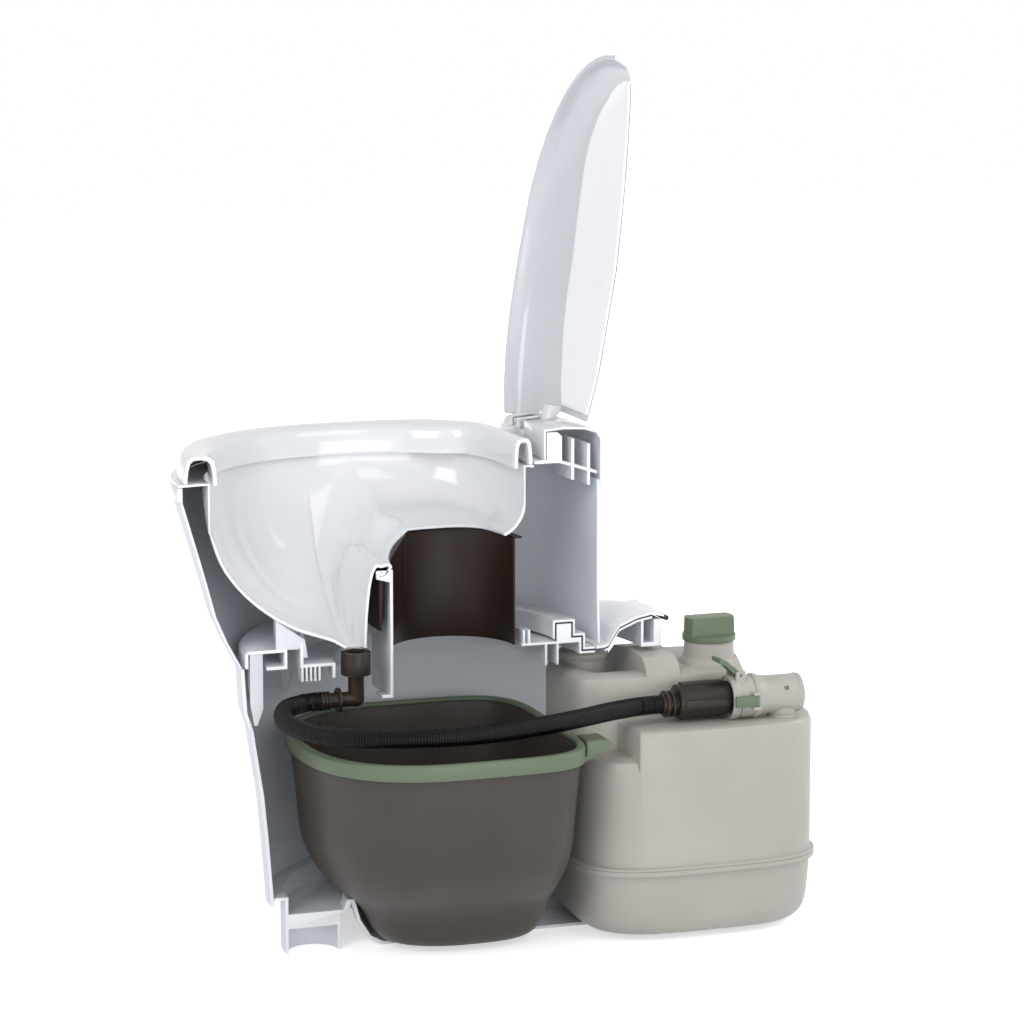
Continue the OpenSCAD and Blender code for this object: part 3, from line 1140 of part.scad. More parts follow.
base_tray();
lower_housing();
turntable_plate();
ring_frame();
ring_cover();
ring_seal();
deck_top();
deck_seal();
deck_bracket();
wall_seal();
upper_housing();
housing_collar();
column_cap();
hinge_bracket();
hinge_pin();
bowl();
separator_plate();
separator_shaft();
diverter_flap();
drop_duct();
outlet_nut();
drain_elbow();
seat_ring();
seat_arm();
lid_shell();
lid_liner();
lid_arm();
drain_hose();
hose_sleeve();
bin_body();
bin_rim();
bin_grip();
canister_tub();
canister_body();
canister_inlet();
filler_cap();
cap_gasket();
pour_tube();
clamp_head();
upper_lever();
lower_latch();
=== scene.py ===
import json
import math
import bpy
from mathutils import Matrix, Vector


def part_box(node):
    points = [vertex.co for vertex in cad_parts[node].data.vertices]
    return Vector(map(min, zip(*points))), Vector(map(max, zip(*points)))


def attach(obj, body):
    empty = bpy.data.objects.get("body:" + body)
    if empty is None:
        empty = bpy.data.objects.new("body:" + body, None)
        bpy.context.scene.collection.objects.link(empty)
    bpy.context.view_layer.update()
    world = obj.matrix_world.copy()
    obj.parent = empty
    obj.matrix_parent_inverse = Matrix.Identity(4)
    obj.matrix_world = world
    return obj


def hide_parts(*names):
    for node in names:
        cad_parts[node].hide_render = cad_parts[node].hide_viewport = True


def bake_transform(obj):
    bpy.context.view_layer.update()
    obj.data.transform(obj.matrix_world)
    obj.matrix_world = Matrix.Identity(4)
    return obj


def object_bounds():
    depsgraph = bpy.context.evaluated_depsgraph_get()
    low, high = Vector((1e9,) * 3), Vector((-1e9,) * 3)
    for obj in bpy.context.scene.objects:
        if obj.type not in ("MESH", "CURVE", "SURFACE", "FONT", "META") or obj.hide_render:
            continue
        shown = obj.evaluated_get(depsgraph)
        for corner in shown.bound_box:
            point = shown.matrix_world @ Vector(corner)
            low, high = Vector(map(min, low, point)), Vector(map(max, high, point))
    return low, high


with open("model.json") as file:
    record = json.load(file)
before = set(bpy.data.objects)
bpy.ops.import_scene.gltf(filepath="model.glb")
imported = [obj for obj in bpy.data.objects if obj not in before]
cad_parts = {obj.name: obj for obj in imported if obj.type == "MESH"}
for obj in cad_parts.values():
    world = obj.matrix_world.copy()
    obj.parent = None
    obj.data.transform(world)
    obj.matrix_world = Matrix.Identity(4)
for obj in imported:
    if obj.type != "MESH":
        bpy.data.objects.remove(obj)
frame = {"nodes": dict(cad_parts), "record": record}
NODES = frame["nodes"]
CAD_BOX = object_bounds()
BODY_OF = {node: body for body, nodes in frame["record"]["behaviour"]["bodies"].items() for node in nodes}
MM = 0.001
bpy.context.scene.view_settings.view_transform = "Standard"


# Camera: 19 degrees to the side, 10.3 degrees down, as the photograph was taken.
AIM = Vector((0.094, 0.0, 0.435))
AWAY = 3.9
TURN, PITCH = math.radians(19), math.radians(10.3)
SENSOR_MM, FOCAL_PIXELS, PHOTO_PIXELS = 36, 3900, 1024
LOOK = Vector((math.sin(TURN) * math.cos(PITCH), math.cos(TURN) * math.cos(PITCH), -math.sin(PITCH)))

camera_data = bpy.data.cameras.new("camera")
camera_data.sensor_width = SENSOR_MM
camera_data.lens = SENSOR_MM * FOCAL_PIXELS / PHOTO_PIXELS
camera_data.clip_end = 60
camera = bpy.data.objects.new("camera", camera_data)
camera.location = AIM - LOOK * AWAY
camera.rotation_euler = LOOK.to_track_quat("-Z", "Y").to_euler()
bpy.context.collection.objects.link(camera)
bpy.context.scene.camera = camera


# Materials. Sizes, depths and the reach of the cut's colour are in mm; the ends are on the noise's scale.
DRIFT_SIZE, DRIFT_ENDS = 80, (0.35, 0.68)
GLOSS_LOW, GLOSS_HIGH = 0.3, 0.7
WAVE_DEPTH, GRAIN_DEPTH = 0.6, 0.08
PLASTIC_IOR, COAT_ROUGH = 1.52, 0.08
CUT_WHITE, CUT_REACH = "#F1F2F4", 0.02


def paint(code):
    """sRGB hex to linear RGBA."""
    parts = [int(code[i:i + 2], 16) / 255 for i in (1, 3, 5)]
    return [c / 12.92 if c <= 0.04045 else ((c + 0.055) / 1.055) ** 2.4 for c in parts] + [1.0]


def add(tree, kind, values=(), links=(), **settings):
    """One shader node with its socket values, its incoming links and its settings."""
    made = tree.nodes.new(kind)
    for key, value in settings.items():
        setattr(made, key, value)
    for key, value in dict(values).items():
        made.inputs[key].default_value = value
    for key, source in dict(links).items():
        tree.links.new(source, made.inputs[key])
    return made


def blank(name):
    """A new material's empty tree and its Object coordinates, which ride with the piece."""
    material = bpy.data.materials.new(name)
    material.use_nodes = True
    tree = material.node_tree
    tree.nodes.clear()
    return material, tree, add(tree, "ShaderNodeTexCoord").outputs["Object"]


def plastic(name, tones, rough, grain, waves, coat=0.0, cut=None, shine=0.5):
    """A moulded plastic: a slow drift of tone, the tool's grain and the wall's slow waves.

    tones are its two hex colours, rough its two roughnesses, grain and waves (size in mm, strength),
    coat its polish, cut the colour of its sawn faces on the plane Y = 0 and shine its reflection level.
    """
    material, tree, place = blank(name)
    drift = add(tree, "ShaderNodeTexNoise", {"Scale": 1 / (DRIFT_SIZE * MM), "Detail": 2.0},
                {"Vector": place})
    ramp = add(tree, "ShaderNodeValToRGB", links={"Fac": drift.outputs["Fac"]})
    for element, position, tone in zip(ramp.color_ramp.elements, DRIFT_ENDS, tones):
        element.position, element.color = position, paint(tone)
    colour = ramp.outputs["Color"]
    if cut:
        across = add(tree, "ShaderNodeSeparateXYZ", links={"Vector": place})
        sawn = add(tree, "ShaderNodeMath", {1: 0.0, 2: CUT_REACH * MM}, {0: across.outputs["Y"]},
                   operation="COMPARE")
        colour = add(tree, "ShaderNodeMix", {7: paint(cut)}, {0: sawn.outputs[0], 6: colour},
                     data_type="RGBA").outputs[2]
    fine = add(tree, "ShaderNodeTexNoise", {"Scale": 1 / (grain[0] * MM), "Detail": 3.0}, {"Vector": place})
    wave = add(tree, "ShaderNodeTexNoise", {"Scale": 1 / (waves[0] * MM), "Detail": 1.0}, {"Vector": place})
    gloss = add(tree, "ShaderNodeMapRange",
                {"From Min": GLOSS_LOW, "From Max": GLOSS_HIGH, "To Min": rough[0], "To Max": rough[1]},
                {"Value": drift.outputs["Fac"]})
    wall = add(tree, "ShaderNodeBump", {"Strength": waves[1], "Distance": WAVE_DEPTH * MM},
               {"Height": wave.outputs["Fac"]})
    skin = add(tree, "ShaderNodeBump", {"Strength": grain[1], "Distance": GRAIN_DEPTH * MM},
               {"Height": fine.outputs["Fac"], "Normal": wall.outputs["Normal"]})
    shader = add(tree, "ShaderNodeBsdfPrincipled",
                 {"IOR": PLASTIC_IOR, "Specular IOR Level": shine, "Coat Weight": coat,
                  "Coat Roughness": COAT_ROUGH},
                 {"Base Color": colour, "Roughness": gloss.outputs["Result"],
                  "Normal": skin.outputs["Normal"]})
    add(tree, "ShaderNodeOutputMaterial", links={"Surface": shader.outputs["BSDF"]})
    return material


# ABS from a polished mould: clear, slightly soft reflections of the lamps, a cool white.
WHITE_GLOSS = plastic("abs_moulded_polished", ("#E0E1E3", "#DCDDE0"), (0.08, 0.13), (1.2, 0.02), (60, 0.04),
                      coat=0.4, cut=CUT_WHITE)
# The same ABS, painted lighter for the light that falls on it: the lid's inner panel, which reads as the
# whitest surface.
WHITE_PANEL_PAINTED_LIGHT = plastic("abs_moulded_painted_light", ("#FCFCFD", "#FAFAFC"), (0.20, 0.26), (1.2, 0.03), (60, 0.05),
                      coat=0.2, cut=CUT_WHITE)
# The same ABS, less polished, and painted greyer for the shade on it: the lid's shell, which turns its hollow
# side to the light.
WHITE_LID_PAINTED_SHADE = plastic("abs_moulded_lid_painted_shade", ("#D1D3D7", "#CDD0D4"), (0.14, 0.20), (1.2, 0.02), (60, 0.04),
                    coat=0.3, cut=CUT_WHITE)
# ABS from a fine-grained mould: broad, matt highlights inside the housings.
WHITE_SATIN = plastic("abs_moulded_satin", ("#DFE2E7", "#DADEE4"), (0.40, 0.48), (0.8, 0.10), (70, 0.06),
                      cut=CUT_WHITE)
# Polypropylene, dark brown: half gloss with soft long highlights along its curves.
BROWN = plastic("polypropylene_moulded_brown", ("#31271F", "#2B221C"), (0.30, 0.40), (0.9, 0.08), (50, 0.06),
                shine=0.25)
# The same polypropylene, duller and painted darker for shade: the duct and the flap, which no lamp reaches
# well.
DUCT_PAINTED_SHADE = plastic("polypropylene_moulded_brown_painted_shade", ("#2A1E18", "#241A16"), (0.36, 0.46), (0.9, 0.08),
               (50, 0.05), shine=0.2)
# Polypropylene, warm grey: the bin's matt, faintly grained wall.
BIN = plastic("polypropylene_moulded_warm_grey", ("#433C37", "#3F3833"), (0.42, 0.52), (0.7, 0.12),
              (70, 0.06), shine=0.35)
# Polypropylene, sage green: satin, for all that the hand takes hold of.
SAGE = plastic("polypropylene_moulded_sage", ("#66735B", "#616E57"), (0.36, 0.46), (0.7, 0.10), (50, 0.06),
               shine=0.35)
# Polyethylene, blow moulded: a waxy matt beige whose wall waves a little.
BEIGE = plastic("polyethylene_blow_moulded_beige", ("#ADA9A1", "#A8A49C"), (0.38, 0.48), (1.0, 0.14),
                (45, 0.10))
# Rubber, extruded: black with a dull, even sheen.
RUBBER = plastic("rubber_extruded_black", ("#0D0D0E", "#111112"), (0.46, 0.56), (0.6, 0.12), (30, 0.06))
# Polyethylene, corrugated between moulds: smooth black crests, each with one narrow soft highlight.
HOSE = plastic("polyethylene_corrugated_black", ("#070708", "#0A0A0B"), (0.34, 0.40), (0.9, 0.01), (40, 0.02),
               shine=0.2)

# The turned rings are finer in truth, and are drawn as coarse as they need to show.
STEEL_RING, STEEL_RING_DEPTH = 10, 0.05


def turned_steel():
    """Stainless steel, turned: bright, with fine rings round the pin that blur its reflections."""
    material, tree, place = blank("stainless_steel_turned")
    rings = add(tree, "ShaderNodeTexWave", {"Scale": 1 / (STEEL_RING * MM), "Distortion": 0.4},
                {"Vector": place}, bands_direction="Y")
    lift = add(tree, "ShaderNodeBump", {"Strength": 0.15, "Distance": STEEL_RING_DEPTH * MM},
               {"Height": rings.outputs["Fac"]})
    shader = add(tree, "ShaderNodeBsdfPrincipled",
                 {"Base Color": paint("#B9BBBD"), "Metallic": 1.0, "Roughness": 0.28},
                 {"Normal": lift.outputs["Normal"]})
    add(tree, "ShaderNodeOutputMaterial", links={"Surface": shader.outputs["BSDF"]})
    return material


STEEL = turned_steel()

# Each finish with its nodes and how far their edges are rounded, in mm.
FINISHES = [
    (WHITE_GLOSS, {"ring_cover": 0.6, "deck_top": 0.7, "housing_collar": 0.6, "column_cap": 0.9,
                   "separator_plate": 0.4, "seat_ring": 0.8, "seat_arm": 0.5, "lid_arm": 0.5}),
    (WHITE_LID_PAINTED_SHADE, {"lid_shell": 0.9}),
    (WHITE_PANEL_PAINTED_LIGHT, {"lid_liner": 0.8}),
    (WHITE_SATIN, {"base_tray": 0.6, "lower_housing": 0.5, "turntable_plate": 0.4, "ring_frame": 0.5,
                   "deck_bracket": 0.4, "upper_housing": 0.5, "hinge_bracket": 0.4}),
    (RUBBER, {"ring_seal": 0.3, "deck_seal": 0.3, "wall_seal": 0.4, "cap_gasket": 0.3}),
    (DUCT_PAINTED_SHADE, {"diverter_flap": 0.5, "drop_duct": 0.5}),
    (BROWN, {"outlet_nut": 0.5, "drain_elbow": 0.4, "hose_sleeve": 0.5}),
    (BIN, {"bin_body": 0.8}),
    (SAGE, {"bin_rim": 1.0, "bin_grip": 1.2, "filler_cap": 1.0, "upper_lever": 0.8, "lower_latch": 0.8}),
    (BEIGE, {"canister_tub": 1.2, "canister_body": 1.6, "canister_inlet": 0.8, "pour_tube": 0.5,
             "clamp_head": 0.8}),
    (STEEL, {"hinge_pin": 0.4, "separator_shaft": 0.3}),
]
# Edges sharper than SHARP are rounded, and faces within SMOOTH of each other shade as one.
SHARP, SMOOTH = math.radians(34), math.radians(32)
# Points closer than SAME_POINT, in mm, are one point, and faces within SAME_PLANE are one face.
SAME_POINT, SAME_PLANE = 0.02, math.radians(0.5)
# Nodes made of one even grid, which Subdivision Surface turns into true curves. How flat and how square two
# triangles are that make one quad, and from what angle an edge stays sharp.
GRIDS = ("lid_shell", "lid_liner", "seat_ring", "bin_body", "canister_tub", "deck_top")
GRID_FLAT, GRID_SQUARE, GRID_CREASE = math.radians(30), math.radians(60), math.radians(48)


def stands_for(piece, finish, *nodes):
    """The new piece takes the nodes' place: their body and the finish."""
    piece.data.materials.clear()
    piece.data.materials.append(finish)
    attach(piece, BODY_OF[nodes[0]])
    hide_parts(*nodes)


def only(piece):
    """Selects this piece alone and makes it the active one."""
    bpy.ops.object.select_all(action="DESELECT")
    piece.select_set(True)
    bpy.context.view_layer.objects.active = piece


def moulded(name, finish, rounding):
    """A copy of a CAD node with its doubles merged, its flats joined and its edges rounded."""
    piece = bpy.data.objects.new(name + "_moulded", NODES[name].data.copy())
    bpy.context.collection.objects.link(piece)
    only(piece)
    bpy.ops.object.mode_set(mode="EDIT")
    bpy.ops.mesh.select_all(action="SELECT")
    bpy.ops.mesh.remove_doubles(threshold=SAME_POINT * MM)
    if name in GRIDS:
        bpy.ops.mesh.tris_convert_to_quads(face_threshold=GRID_FLAT, shape_threshold=GRID_SQUARE)
        bpy.ops.mesh.select_all(action="DESELECT")
        bpy.ops.mesh.edges_select_sharp(sharpness=GRID_CREASE)
        bpy.ops.transform.edge_crease(value=1)
    else:
        bpy.ops.mesh.dissolve_limited(angle_limit=SAME_PLANE)
    bpy.ops.object.mode_set(mode="OBJECT")
    if name in GRIDS:
        curve = piece.modifiers.new("curve", "SUBSURF")
        curve.levels = curve.render_levels = 2
        bpy.ops.object.modifier_apply(modifier="curve")
    edge = piece.modifiers.new("edges", "BEVEL")
    edge.width, edge.segments = rounding * MM, 2
    edge.limit_method, edge.angle_limit = "ANGLE", SHARP
    edge.use_clamp_overlap, edge.miter_outer = True, "MITER_ARC"
    bpy.ops.object.modifier_apply(modifier="edges")
    bpy.ops.object.shade_smooth_by_angle(angle=SMOOTH)
    stands_for(piece, finish, name)
    return piece


MADE = {name: moulded(name, finish, rounding)
        for finish, nodes in FINISHES for name, rounding in nodes.items()}

# Turned rings round the spout's axis and the filler neck's, as profiles (radius, place on the axis) in mm.
SPOUT, NECK = (0, -62, 243), (310, 7, 0)
HEAD_LIP = [(21, 301.6), (22.2, 301.8), (22.9, 303.2), (23, 306), (22.6, 309), (21.7, 311), (21, 311)]
HEAD_FLARE = [(21, 327), (22.3, 327), (22.9, 329), (22.8, 331), (21.9, 333.5), (20.7, 336), (20, 339),
              (19.7, 343), (19.55, 343), (19.55, 331), (21, 330)]
TUBE_BEAD = [(19.4, 374), (20, 375), (20.1, 377.5), (19.7, 379.6), (19.4, 379.6)]
NECK_FILLET = [(31.5, 265.6), (31.5, 266.3), (29, 267.6), (27.2, 270.5), (26, 276), (25.6, 284), (24.9, 284),
               (24.9, 265.6)]
RING_SIDES, SAME_RING_POINT, RING_SMOOTH = 72, 0.001, math.radians(50)


def add_turned_ring(name, centre, along_x, profile):
    """Joins a turned ring to a moulded piece: a circle is extruded along a closed profile."""
    axis = Vector((1, 0, 0)) if along_x else Vector((0, 0, 1))
    middle = Vector(centre) * MM
    start_radius, start = profile[0]
    bpy.ops.object.select_all(action="DESELECT")
    bpy.ops.mesh.primitive_circle_add(vertices=RING_SIDES, radius=start_radius * MM,
                                      location=middle + axis * start * MM,
                                      rotation=(0, math.pi / 2 if along_x else 0, 0))
    ring = bpy.context.active_object
    bpy.ops.object.transform_apply(location=True, rotation=True, scale=True)
    bpy.ops.object.mode_set(mode="EDIT")
    bpy.ops.mesh.select_all(action="SELECT")
    for (r0, h0), (r1, h1) in zip(profile, profile[1:] + profile[:1]):
        bpy.ops.mesh.extrude_edges_move(TRANSFORM_OT_translate={"value": axis * (h1 - h0) * MM})
        size = r1 / r0
        bpy.ops.transform.resize(value=(1, size, size) if along_x else (size, size, 1),
                                 center_override=middle + axis * h1 * MM)
    bpy.ops.mesh.select_all(action="SELECT")
    bpy.ops.mesh.remove_doubles(threshold=SAME_RING_POINT * MM)
    bpy.ops.mesh.normals_make_consistent(inside=False)
    bpy.ops.object.mode_set(mode="OBJECT")
    bpy.ops.object.shade_smooth_by_angle(angle=RING_SMOOTH)
    ring.data.materials.append(MADE[name].data.materials[0])
    only(MADE[name])
    ring.select_set(True)
    bpy.ops.object.join()


# The clamp head has a rounded front lip and a flare onto the tube, whose mouth has a soft bead.
add_turned_ring("clamp_head", SPOUT, True, HEAD_LIP)
add_turned_ring("clamp_head", SPOUT, True, HEAD_FLARE)
add_turned_ring("pour_tube", SPOUT, True, TUBE_BEAD)
add_turned_ring("canister_body", NECK, False, NECK_FILLET)

# The bin's wall is full down to its foot and then turns in shortly. Its rear side is nearly straight.
BELLY_LOW, BELLY_HIGH, BELLY, REAR_BELLY = 34.0, 150.0, 0.055, 0.25
BELLY_PEAK, BELLY_POWER = 0.6, 1.3
middle = sum(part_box("bin_body")[k][0] for k in (0, 1)) / 2
for vertex in MADE["bin_body"].data.vertices:
    up = (vertex.co.z / MM - BELLY_LOW) / (BELLY_HIGH - BELLY_LOW)
    if 0 < up < 1:
        full = 1 + BELLY * math.sin(math.pi * up ** BELLY_PEAK) ** BELLY_POWER
        out = full if vertex.co.x < middle else 1 + (full - 1) * REAR_BELLY
        vertex.co.x = middle + (vertex.co.x - middle) * out
        vertex.co.y *= full

# The lid's panel runs out in a point at its top.
TIP_SHARE, TIP_POWER = 0.30, 2.4
panel = MADE["lid_liner"].data
tip, foot = max(v.co.z for v in panel.vertices), min(v.co.z for v in panel.vertices)
for vertex in panel.vertices:
    along = (vertex.co.z - tip) / (tip - foot) / TIP_SHARE + 1
    if along > 0:
        vertex.co.y *= math.sqrt(max(0.0, 1 - along ** TIP_POWER))


# Bowl: sections across it every few millimetres, as a potter's templates, so that the basin, the dividing
# ridge and the shelf round the duct run into each other in one soft surface. Solidify gives its wall.
# Sizes are in mm, Z above the floor and X from the swivel's axis.
RIM_Z, OUTLET_Z, LIP_Z, RIDGE_Z, OUTLET_X, OUTLET_R = 481.3, 307.0, 413.0, 391.0, -70.0, 8.5
BOWL_FRONT, BOWL_BACK, BOWL_HALF, BOWL_WIDEST, BOWL_WALL = -217.0, 107.0, 146.0, -50.0, 2.6
# Powers of the superellipses: the inner wall's and the flange's outline, before and behind the widest place.
WALL_POWERS, FLANGE_POWERS = (2.2, 3.2), (2.3, 4)
# The duct's hole: middle, half length, depth behind the cut and its outline's power.
HOLE_X, HOLE_HALF, HOLE_Y, HOLE_POWER = 27.5, 58.0, 54.0, 3
RIDGE_FRONT, RIDGE_BACK, DRAIN_RUN = -53.5, -31.5, 8.0
# The basin's open floor has risen to the shelf at SHELF_X, and the ridge dies away between these depths.
SHELF_X, RIDGE_DIES = -14, (62, 92)
# The ridge swings forward by SWEEP over this depth, and less over the last run before the shelf.
SWEEP, SWEEP_DEPTH, SWEEP_RUN = 7, 70, 30
# How round a section is where it turns up into the wall: the power at the front and what is added behind.
TURN_POWER, TURN_ADDED, TURN_FROM, TURN_TO = 1.7, 0.9, -75, 5
# Tables of (share of the run, share of the rise). BASIN is smoothed by a mean of BASIN_MEAN values.
BASIN = [(0, 0), (0.04, 0.04), (0.16, 0.08), (0.35, 0.13), (0.53, 0.21), (0.69, 0.31), (0.81, 0.41),
         (0.93, 0.55), (0.985, 0.69), (1, 0.78)]
BASIN_MEAN, BASIN_STEP = 7, 0.018
DRAIN = [(0, 0), (0.2, 0.4), (0.5, 0.68), (0.8, 0.83), (1, 0.9)]
RIDGE = [(0, 0.9), (0.12, 0.965), (0.25, 1), (0.4, 0.982), (0.6, 0.982), (0.75, 1), (0.9, 0.985), (1, 0.95)]
CORNER = [(0, 0), (0.3, 0.1), (0.6, 0.3), (0.85, 0.6), (1, 1)]
CORNER_H, CORNER_LEN = 30.0, 22.0
# Where the sections stand: close together where the floor or the outline is steep.
FRONT_STATIONS = [BOWL_FRONT, -216.4, -215, -213, -210, -206, -201, -195, -188, -180, -171, -161, -150, -139,
                  -128, -117, -107, -98, -91, -85, -81]
OUTLET_STATIONS = [-78.5, -78.0, -76, -73, -70, -67, -64, -62, -61.5]
RIDGE_STATIONS = [-60, -58.5, -57, -55.5, -54.2, -53.5, -52, -50, -47, -44, -41, -38, -35.5, -33, -31.5]
HOLE_STATIONS = [-30.4, -29.9, -29, -27, -23, -18, -12, -6, 0, 7, 15, 24, 33, 42, 51, 59, 66, 72, 77, 80.5,
                 83, 84.6, 85.3, 85.6]
BACK_STATIONS = [89, 93, 97, 100.5, 103, 105, 106.3, BOWL_BACK]
STATIONS = FRONT_STATIONS + OUTLET_STATIONS + RIDGE_STATIONS + HOLE_STATIONS + BACK_STATIONS
# Steps from a section's inner end to the rim, and the flange's reach, which is that of the CAD node.
COLUMNS = 30
REACH_LOW, REACH_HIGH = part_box("bowl")
# Points of the shell nearer to each other than the first are one, and those nearer to the cut lie on it.
SAME_BOWL_POINT, CUT_SNAP, BOWL_ROUNDING = 0.05, 0.9, 0.5
BOWL_SHARP, BOWL_SMOOTH = math.radians(55), math.radians(50)


def between(rows, x):
    """Height on the straight line through a table's rows."""
    if x <= rows[0][0]:
        return rows[0][1]
    for (x0, y0), (x1, y1) in zip(rows, rows[1:]):
        if x <= x1:
            return y0 + (y1 - y0) * (x - x0) / (x1 - x0)
    return rows[-1][1]


def ease(x, low, high):
    """0 below low, 1 above high and a soft step between them."""
    t = min(1.0, max(0.0, (x - low) / (high - low)))
    return t * t * (3 - 2 * t)


def soft_basin(s):
    """The basin's table with its corners taken off by a short running mean."""
    steps = range(-(BASIN_MEAN // 2), BASIN_MEAN // 2 + 1)
    return sum(between(BASIN, s + k * BASIN_STEP) for k in steps) / BASIN_MEAN


def side_of(x):
    """Half width of the bowl's inner wall at x."""
    ahead = x < BOWL_WIDEST
    run = BOWL_WIDEST - BOWL_FRONT if ahead else BOWL_BACK - BOWL_WIDEST
    power = WALL_POWERS[0 if ahead else 1]
    return BOWL_HALF * max(0.0, 1 - min(1.0, abs(x - BOWL_WIDEST) / run) ** power) ** (1 / power)


def inner_end(x):
    """Where a section starts: at the outlet's edge, at the duct's edge or on the cut plane."""
    if abs(x - OUTLET_X) < OUTLET_R:
        return math.sqrt(OUTLET_R ** 2 - (x - OUTLET_X) ** 2)
    if abs(x - HOLE_X) < HOLE_HALF:
        return HOLE_Y * (1 - (abs(x - HOLE_X) / HOLE_HALF) ** HOLE_POWER) ** (1 / HOLE_POWER)
    return 0.0


def ridge_floor(x):
    """Floor near the cut plane, from the outlet up and over the ridge to the shelf."""
    rise = RIDGE_Z - OUTLET_Z
    if x <= OUTLET_X + OUTLET_R:
        return OUTLET_Z
    if x <= RIDGE_FRONT:
        return OUTLET_Z + rise * between(DRAIN, (x - OUTLET_X - OUTLET_R) / DRAIN_RUN)
    if x <= RIDGE_BACK:
        return OUTLET_Z + rise * between(RIDGE, (x - RIDGE_FRONT) / (RIDGE_BACK - RIDGE_FRONT))
    low = OUTLET_Z + rise * RIDGE[-1][1]
    return low + (LIP_Z - low) * min(1.0, (x - RIDGE_BACK) / -RIDGE_BACK)


def floor_of(x, y):
    """Floor of the bowl: the ridge ends softly in the side wall 62 to 92 mm behind the cut."""
    outlet_front = OUTLET_X - OUTLET_R
    if x <= outlet_front:
        return OUTLET_Z + (RIM_Z - OUTLET_Z) * soft_basin((outlet_front - x) / (outlet_front - BOWL_FRONT))
    if x <= 0:
        open_floor = OUTLET_Z + (LIP_Z - OUTLET_Z) * ease(x, outlet_front, SHELF_X)
        swept = x + SWEEP * ease(y, 0, SWEEP_DEPTH) * ease(-x, 0, SWEEP_RUN)
        return open_floor + (ridge_floor(swept) - open_floor) * (1 - ease(y, *RIDGE_DIES))
    return LIP_Z + CORNER_H * between(CORNER, 1 + (x - BOWL_BACK) / CORNER_LEN)


def bowl_section(x):
    """One section from its inner end up the wall to the rim."""
    wide, start = side_of(x), inner_end(x)
    power = TURN_POWER + TURN_ADDED * ease(x, TURN_FROM, TURN_TO)
    row = []
    for j in range(COLUMNS + 1):
        y = start + (wide - start) * math.sin(math.pi / 2 * j / COLUMNS)
        low = floor_of(x, y)
        if wide > 1:
            rise = 1 - max(0.0, 1 - min(1.0, y / wide) ** power) ** (1 / power)
        else:
            rise = j / COLUMNS
        row.append((x, y, low + (RIM_Z - low) * rise))
    return row


def flange_edge(x):
    """The point of the flange's outer edge that belongs to the section at x."""
    if x < BOWL_WIDEST:
        far, run, side = REACH_LOW[0] / MM, BOWL_FRONT - BOWL_WIDEST, 0
    else:
        far, run, side = REACH_HIGH[0] / MM, BOWL_BACK - BOWL_WIDEST, 1
    turn = math.acos(min(1.0, abs((x - BOWL_WIDEST) / run)) ** (WALL_POWERS[side] / 2))
    share = 2 / FLANGE_POWERS[side]
    edge_x = BOWL_WIDEST + (far - BOWL_WIDEST) * math.cos(turn) ** share
    return edge_x, REACH_HIGH[1] / MM * math.sin(turn) ** share, RIM_Z


def bowl():
    """The bowl with its wall and its flange."""
    verts, faces = [], []
    for x in STATIONS:
        verts += [(a * MM, b * MM, c * MM) for a, b, c in bowl_section(x) + [flange_edge(x)]]
    width = COLUMNS + 2
    for i in range(len(STATIONS) - 1):
        for j in range(width - 1):
            here = i * width + j
            faces.append((here, here + 1, here + width + 1, here + width))
    mesh = bpy.data.meshes.new("bowl_shell")
    mesh.from_pydata(verts, [], faces)
    piece = bpy.data.objects.new("bowl_shell", mesh)
    bpy.context.collection.objects.link(piece)
    only(piece)
    bpy.ops.object.mode_set(mode="EDIT")
    bpy.ops.mesh.select_all(action="SELECT")
    bpy.ops.mesh.remove_doubles(threshold=SAME_BOWL_POINT * MM)
    bpy.ops.object.mode_set(mode="OBJECT")
    up = sum(face.normal.z for face in piece.data.polygons)
    wall = piece.modifiers.new("wall", "SOLIDIFY")
    wall.thickness, wall.offset, wall.use_even_offset = BOWL_WALL * MM, -1 if up > 0 else 1, True
    wall.thickness_clamp = 1.0
    bpy.ops.object.modifier_apply(modifier="wall")
    for vertex in piece.data.vertices:
        if vertex.co.y < CUT_SNAP * MM:
            vertex.co.y = 0
    edge = piece.modifiers.new("edges", "BEVEL")
    edge.width, edge.segments = BOWL_ROUNDING * MM, 2
    edge.limit_method, edge.angle_limit = "ANGLE", BOWL_SHARP
    bpy.ops.object.modifier_apply(modifier="edges")
    bpy.ops.object.shade_smooth_by_angle(angle=BOWL_SMOOTH)
    stands_for(piece, WHITE_GLOSS, "bowl")


bowl()


# Hose: the route that the CAD node follows, in mm.
ROUTE = [(-107, 0, 256), (-117, 0, 256), (-127, -1, 255), (-146, -12, 253), (-154, -35, 248),
         (-148, -60, 245), (-130, -82, 242), (-102, -98, 240), (-62, -109, 239), (-15, -115, 238),
         (35, -114, 238), (85, -105, 239), (130, -91, 240), (172, -75, 241), (201, -65, 241),
         (211, -63, 241), (221, -62, 241), (231, -62, 241)]
# Its outside and its bore, how deep its grooves are, and how much of that its shoulders have.
HOSE_D, HOSE_BORE, GROOVE, SHOULDER = 19.0, 13.0, 0.9, 0.7
# Both its ends sit straight in their fittings for HOSE_STRAIGHT mm.
HOSE_RIBS, HOSE_SIDES, WAY_STEPS, HOSE_STRAIGHT = 170, 20, 12, 9


def smooth_way(points, steps):
    """Points of one smooth curve through the route's points, in metres."""
    line = [Vector(p) * MM for p in points]
    way = []
    for i in range(len(line) - 1):
        a, b, c, d = line[max(i - 1, 0)], line[i], line[i + 1], line[min(i + 2, len(line) - 1)]
        for k in range(steps):
            t = k / steps
            way.append(0.5 * (2 * b + (c - a) * t + (2 * a - 5 * b + 4 * c - d) * t * t
                              + (3 * b - 3 * c + d - a) * t ** 3))
    way.append(line[-1])
    return way


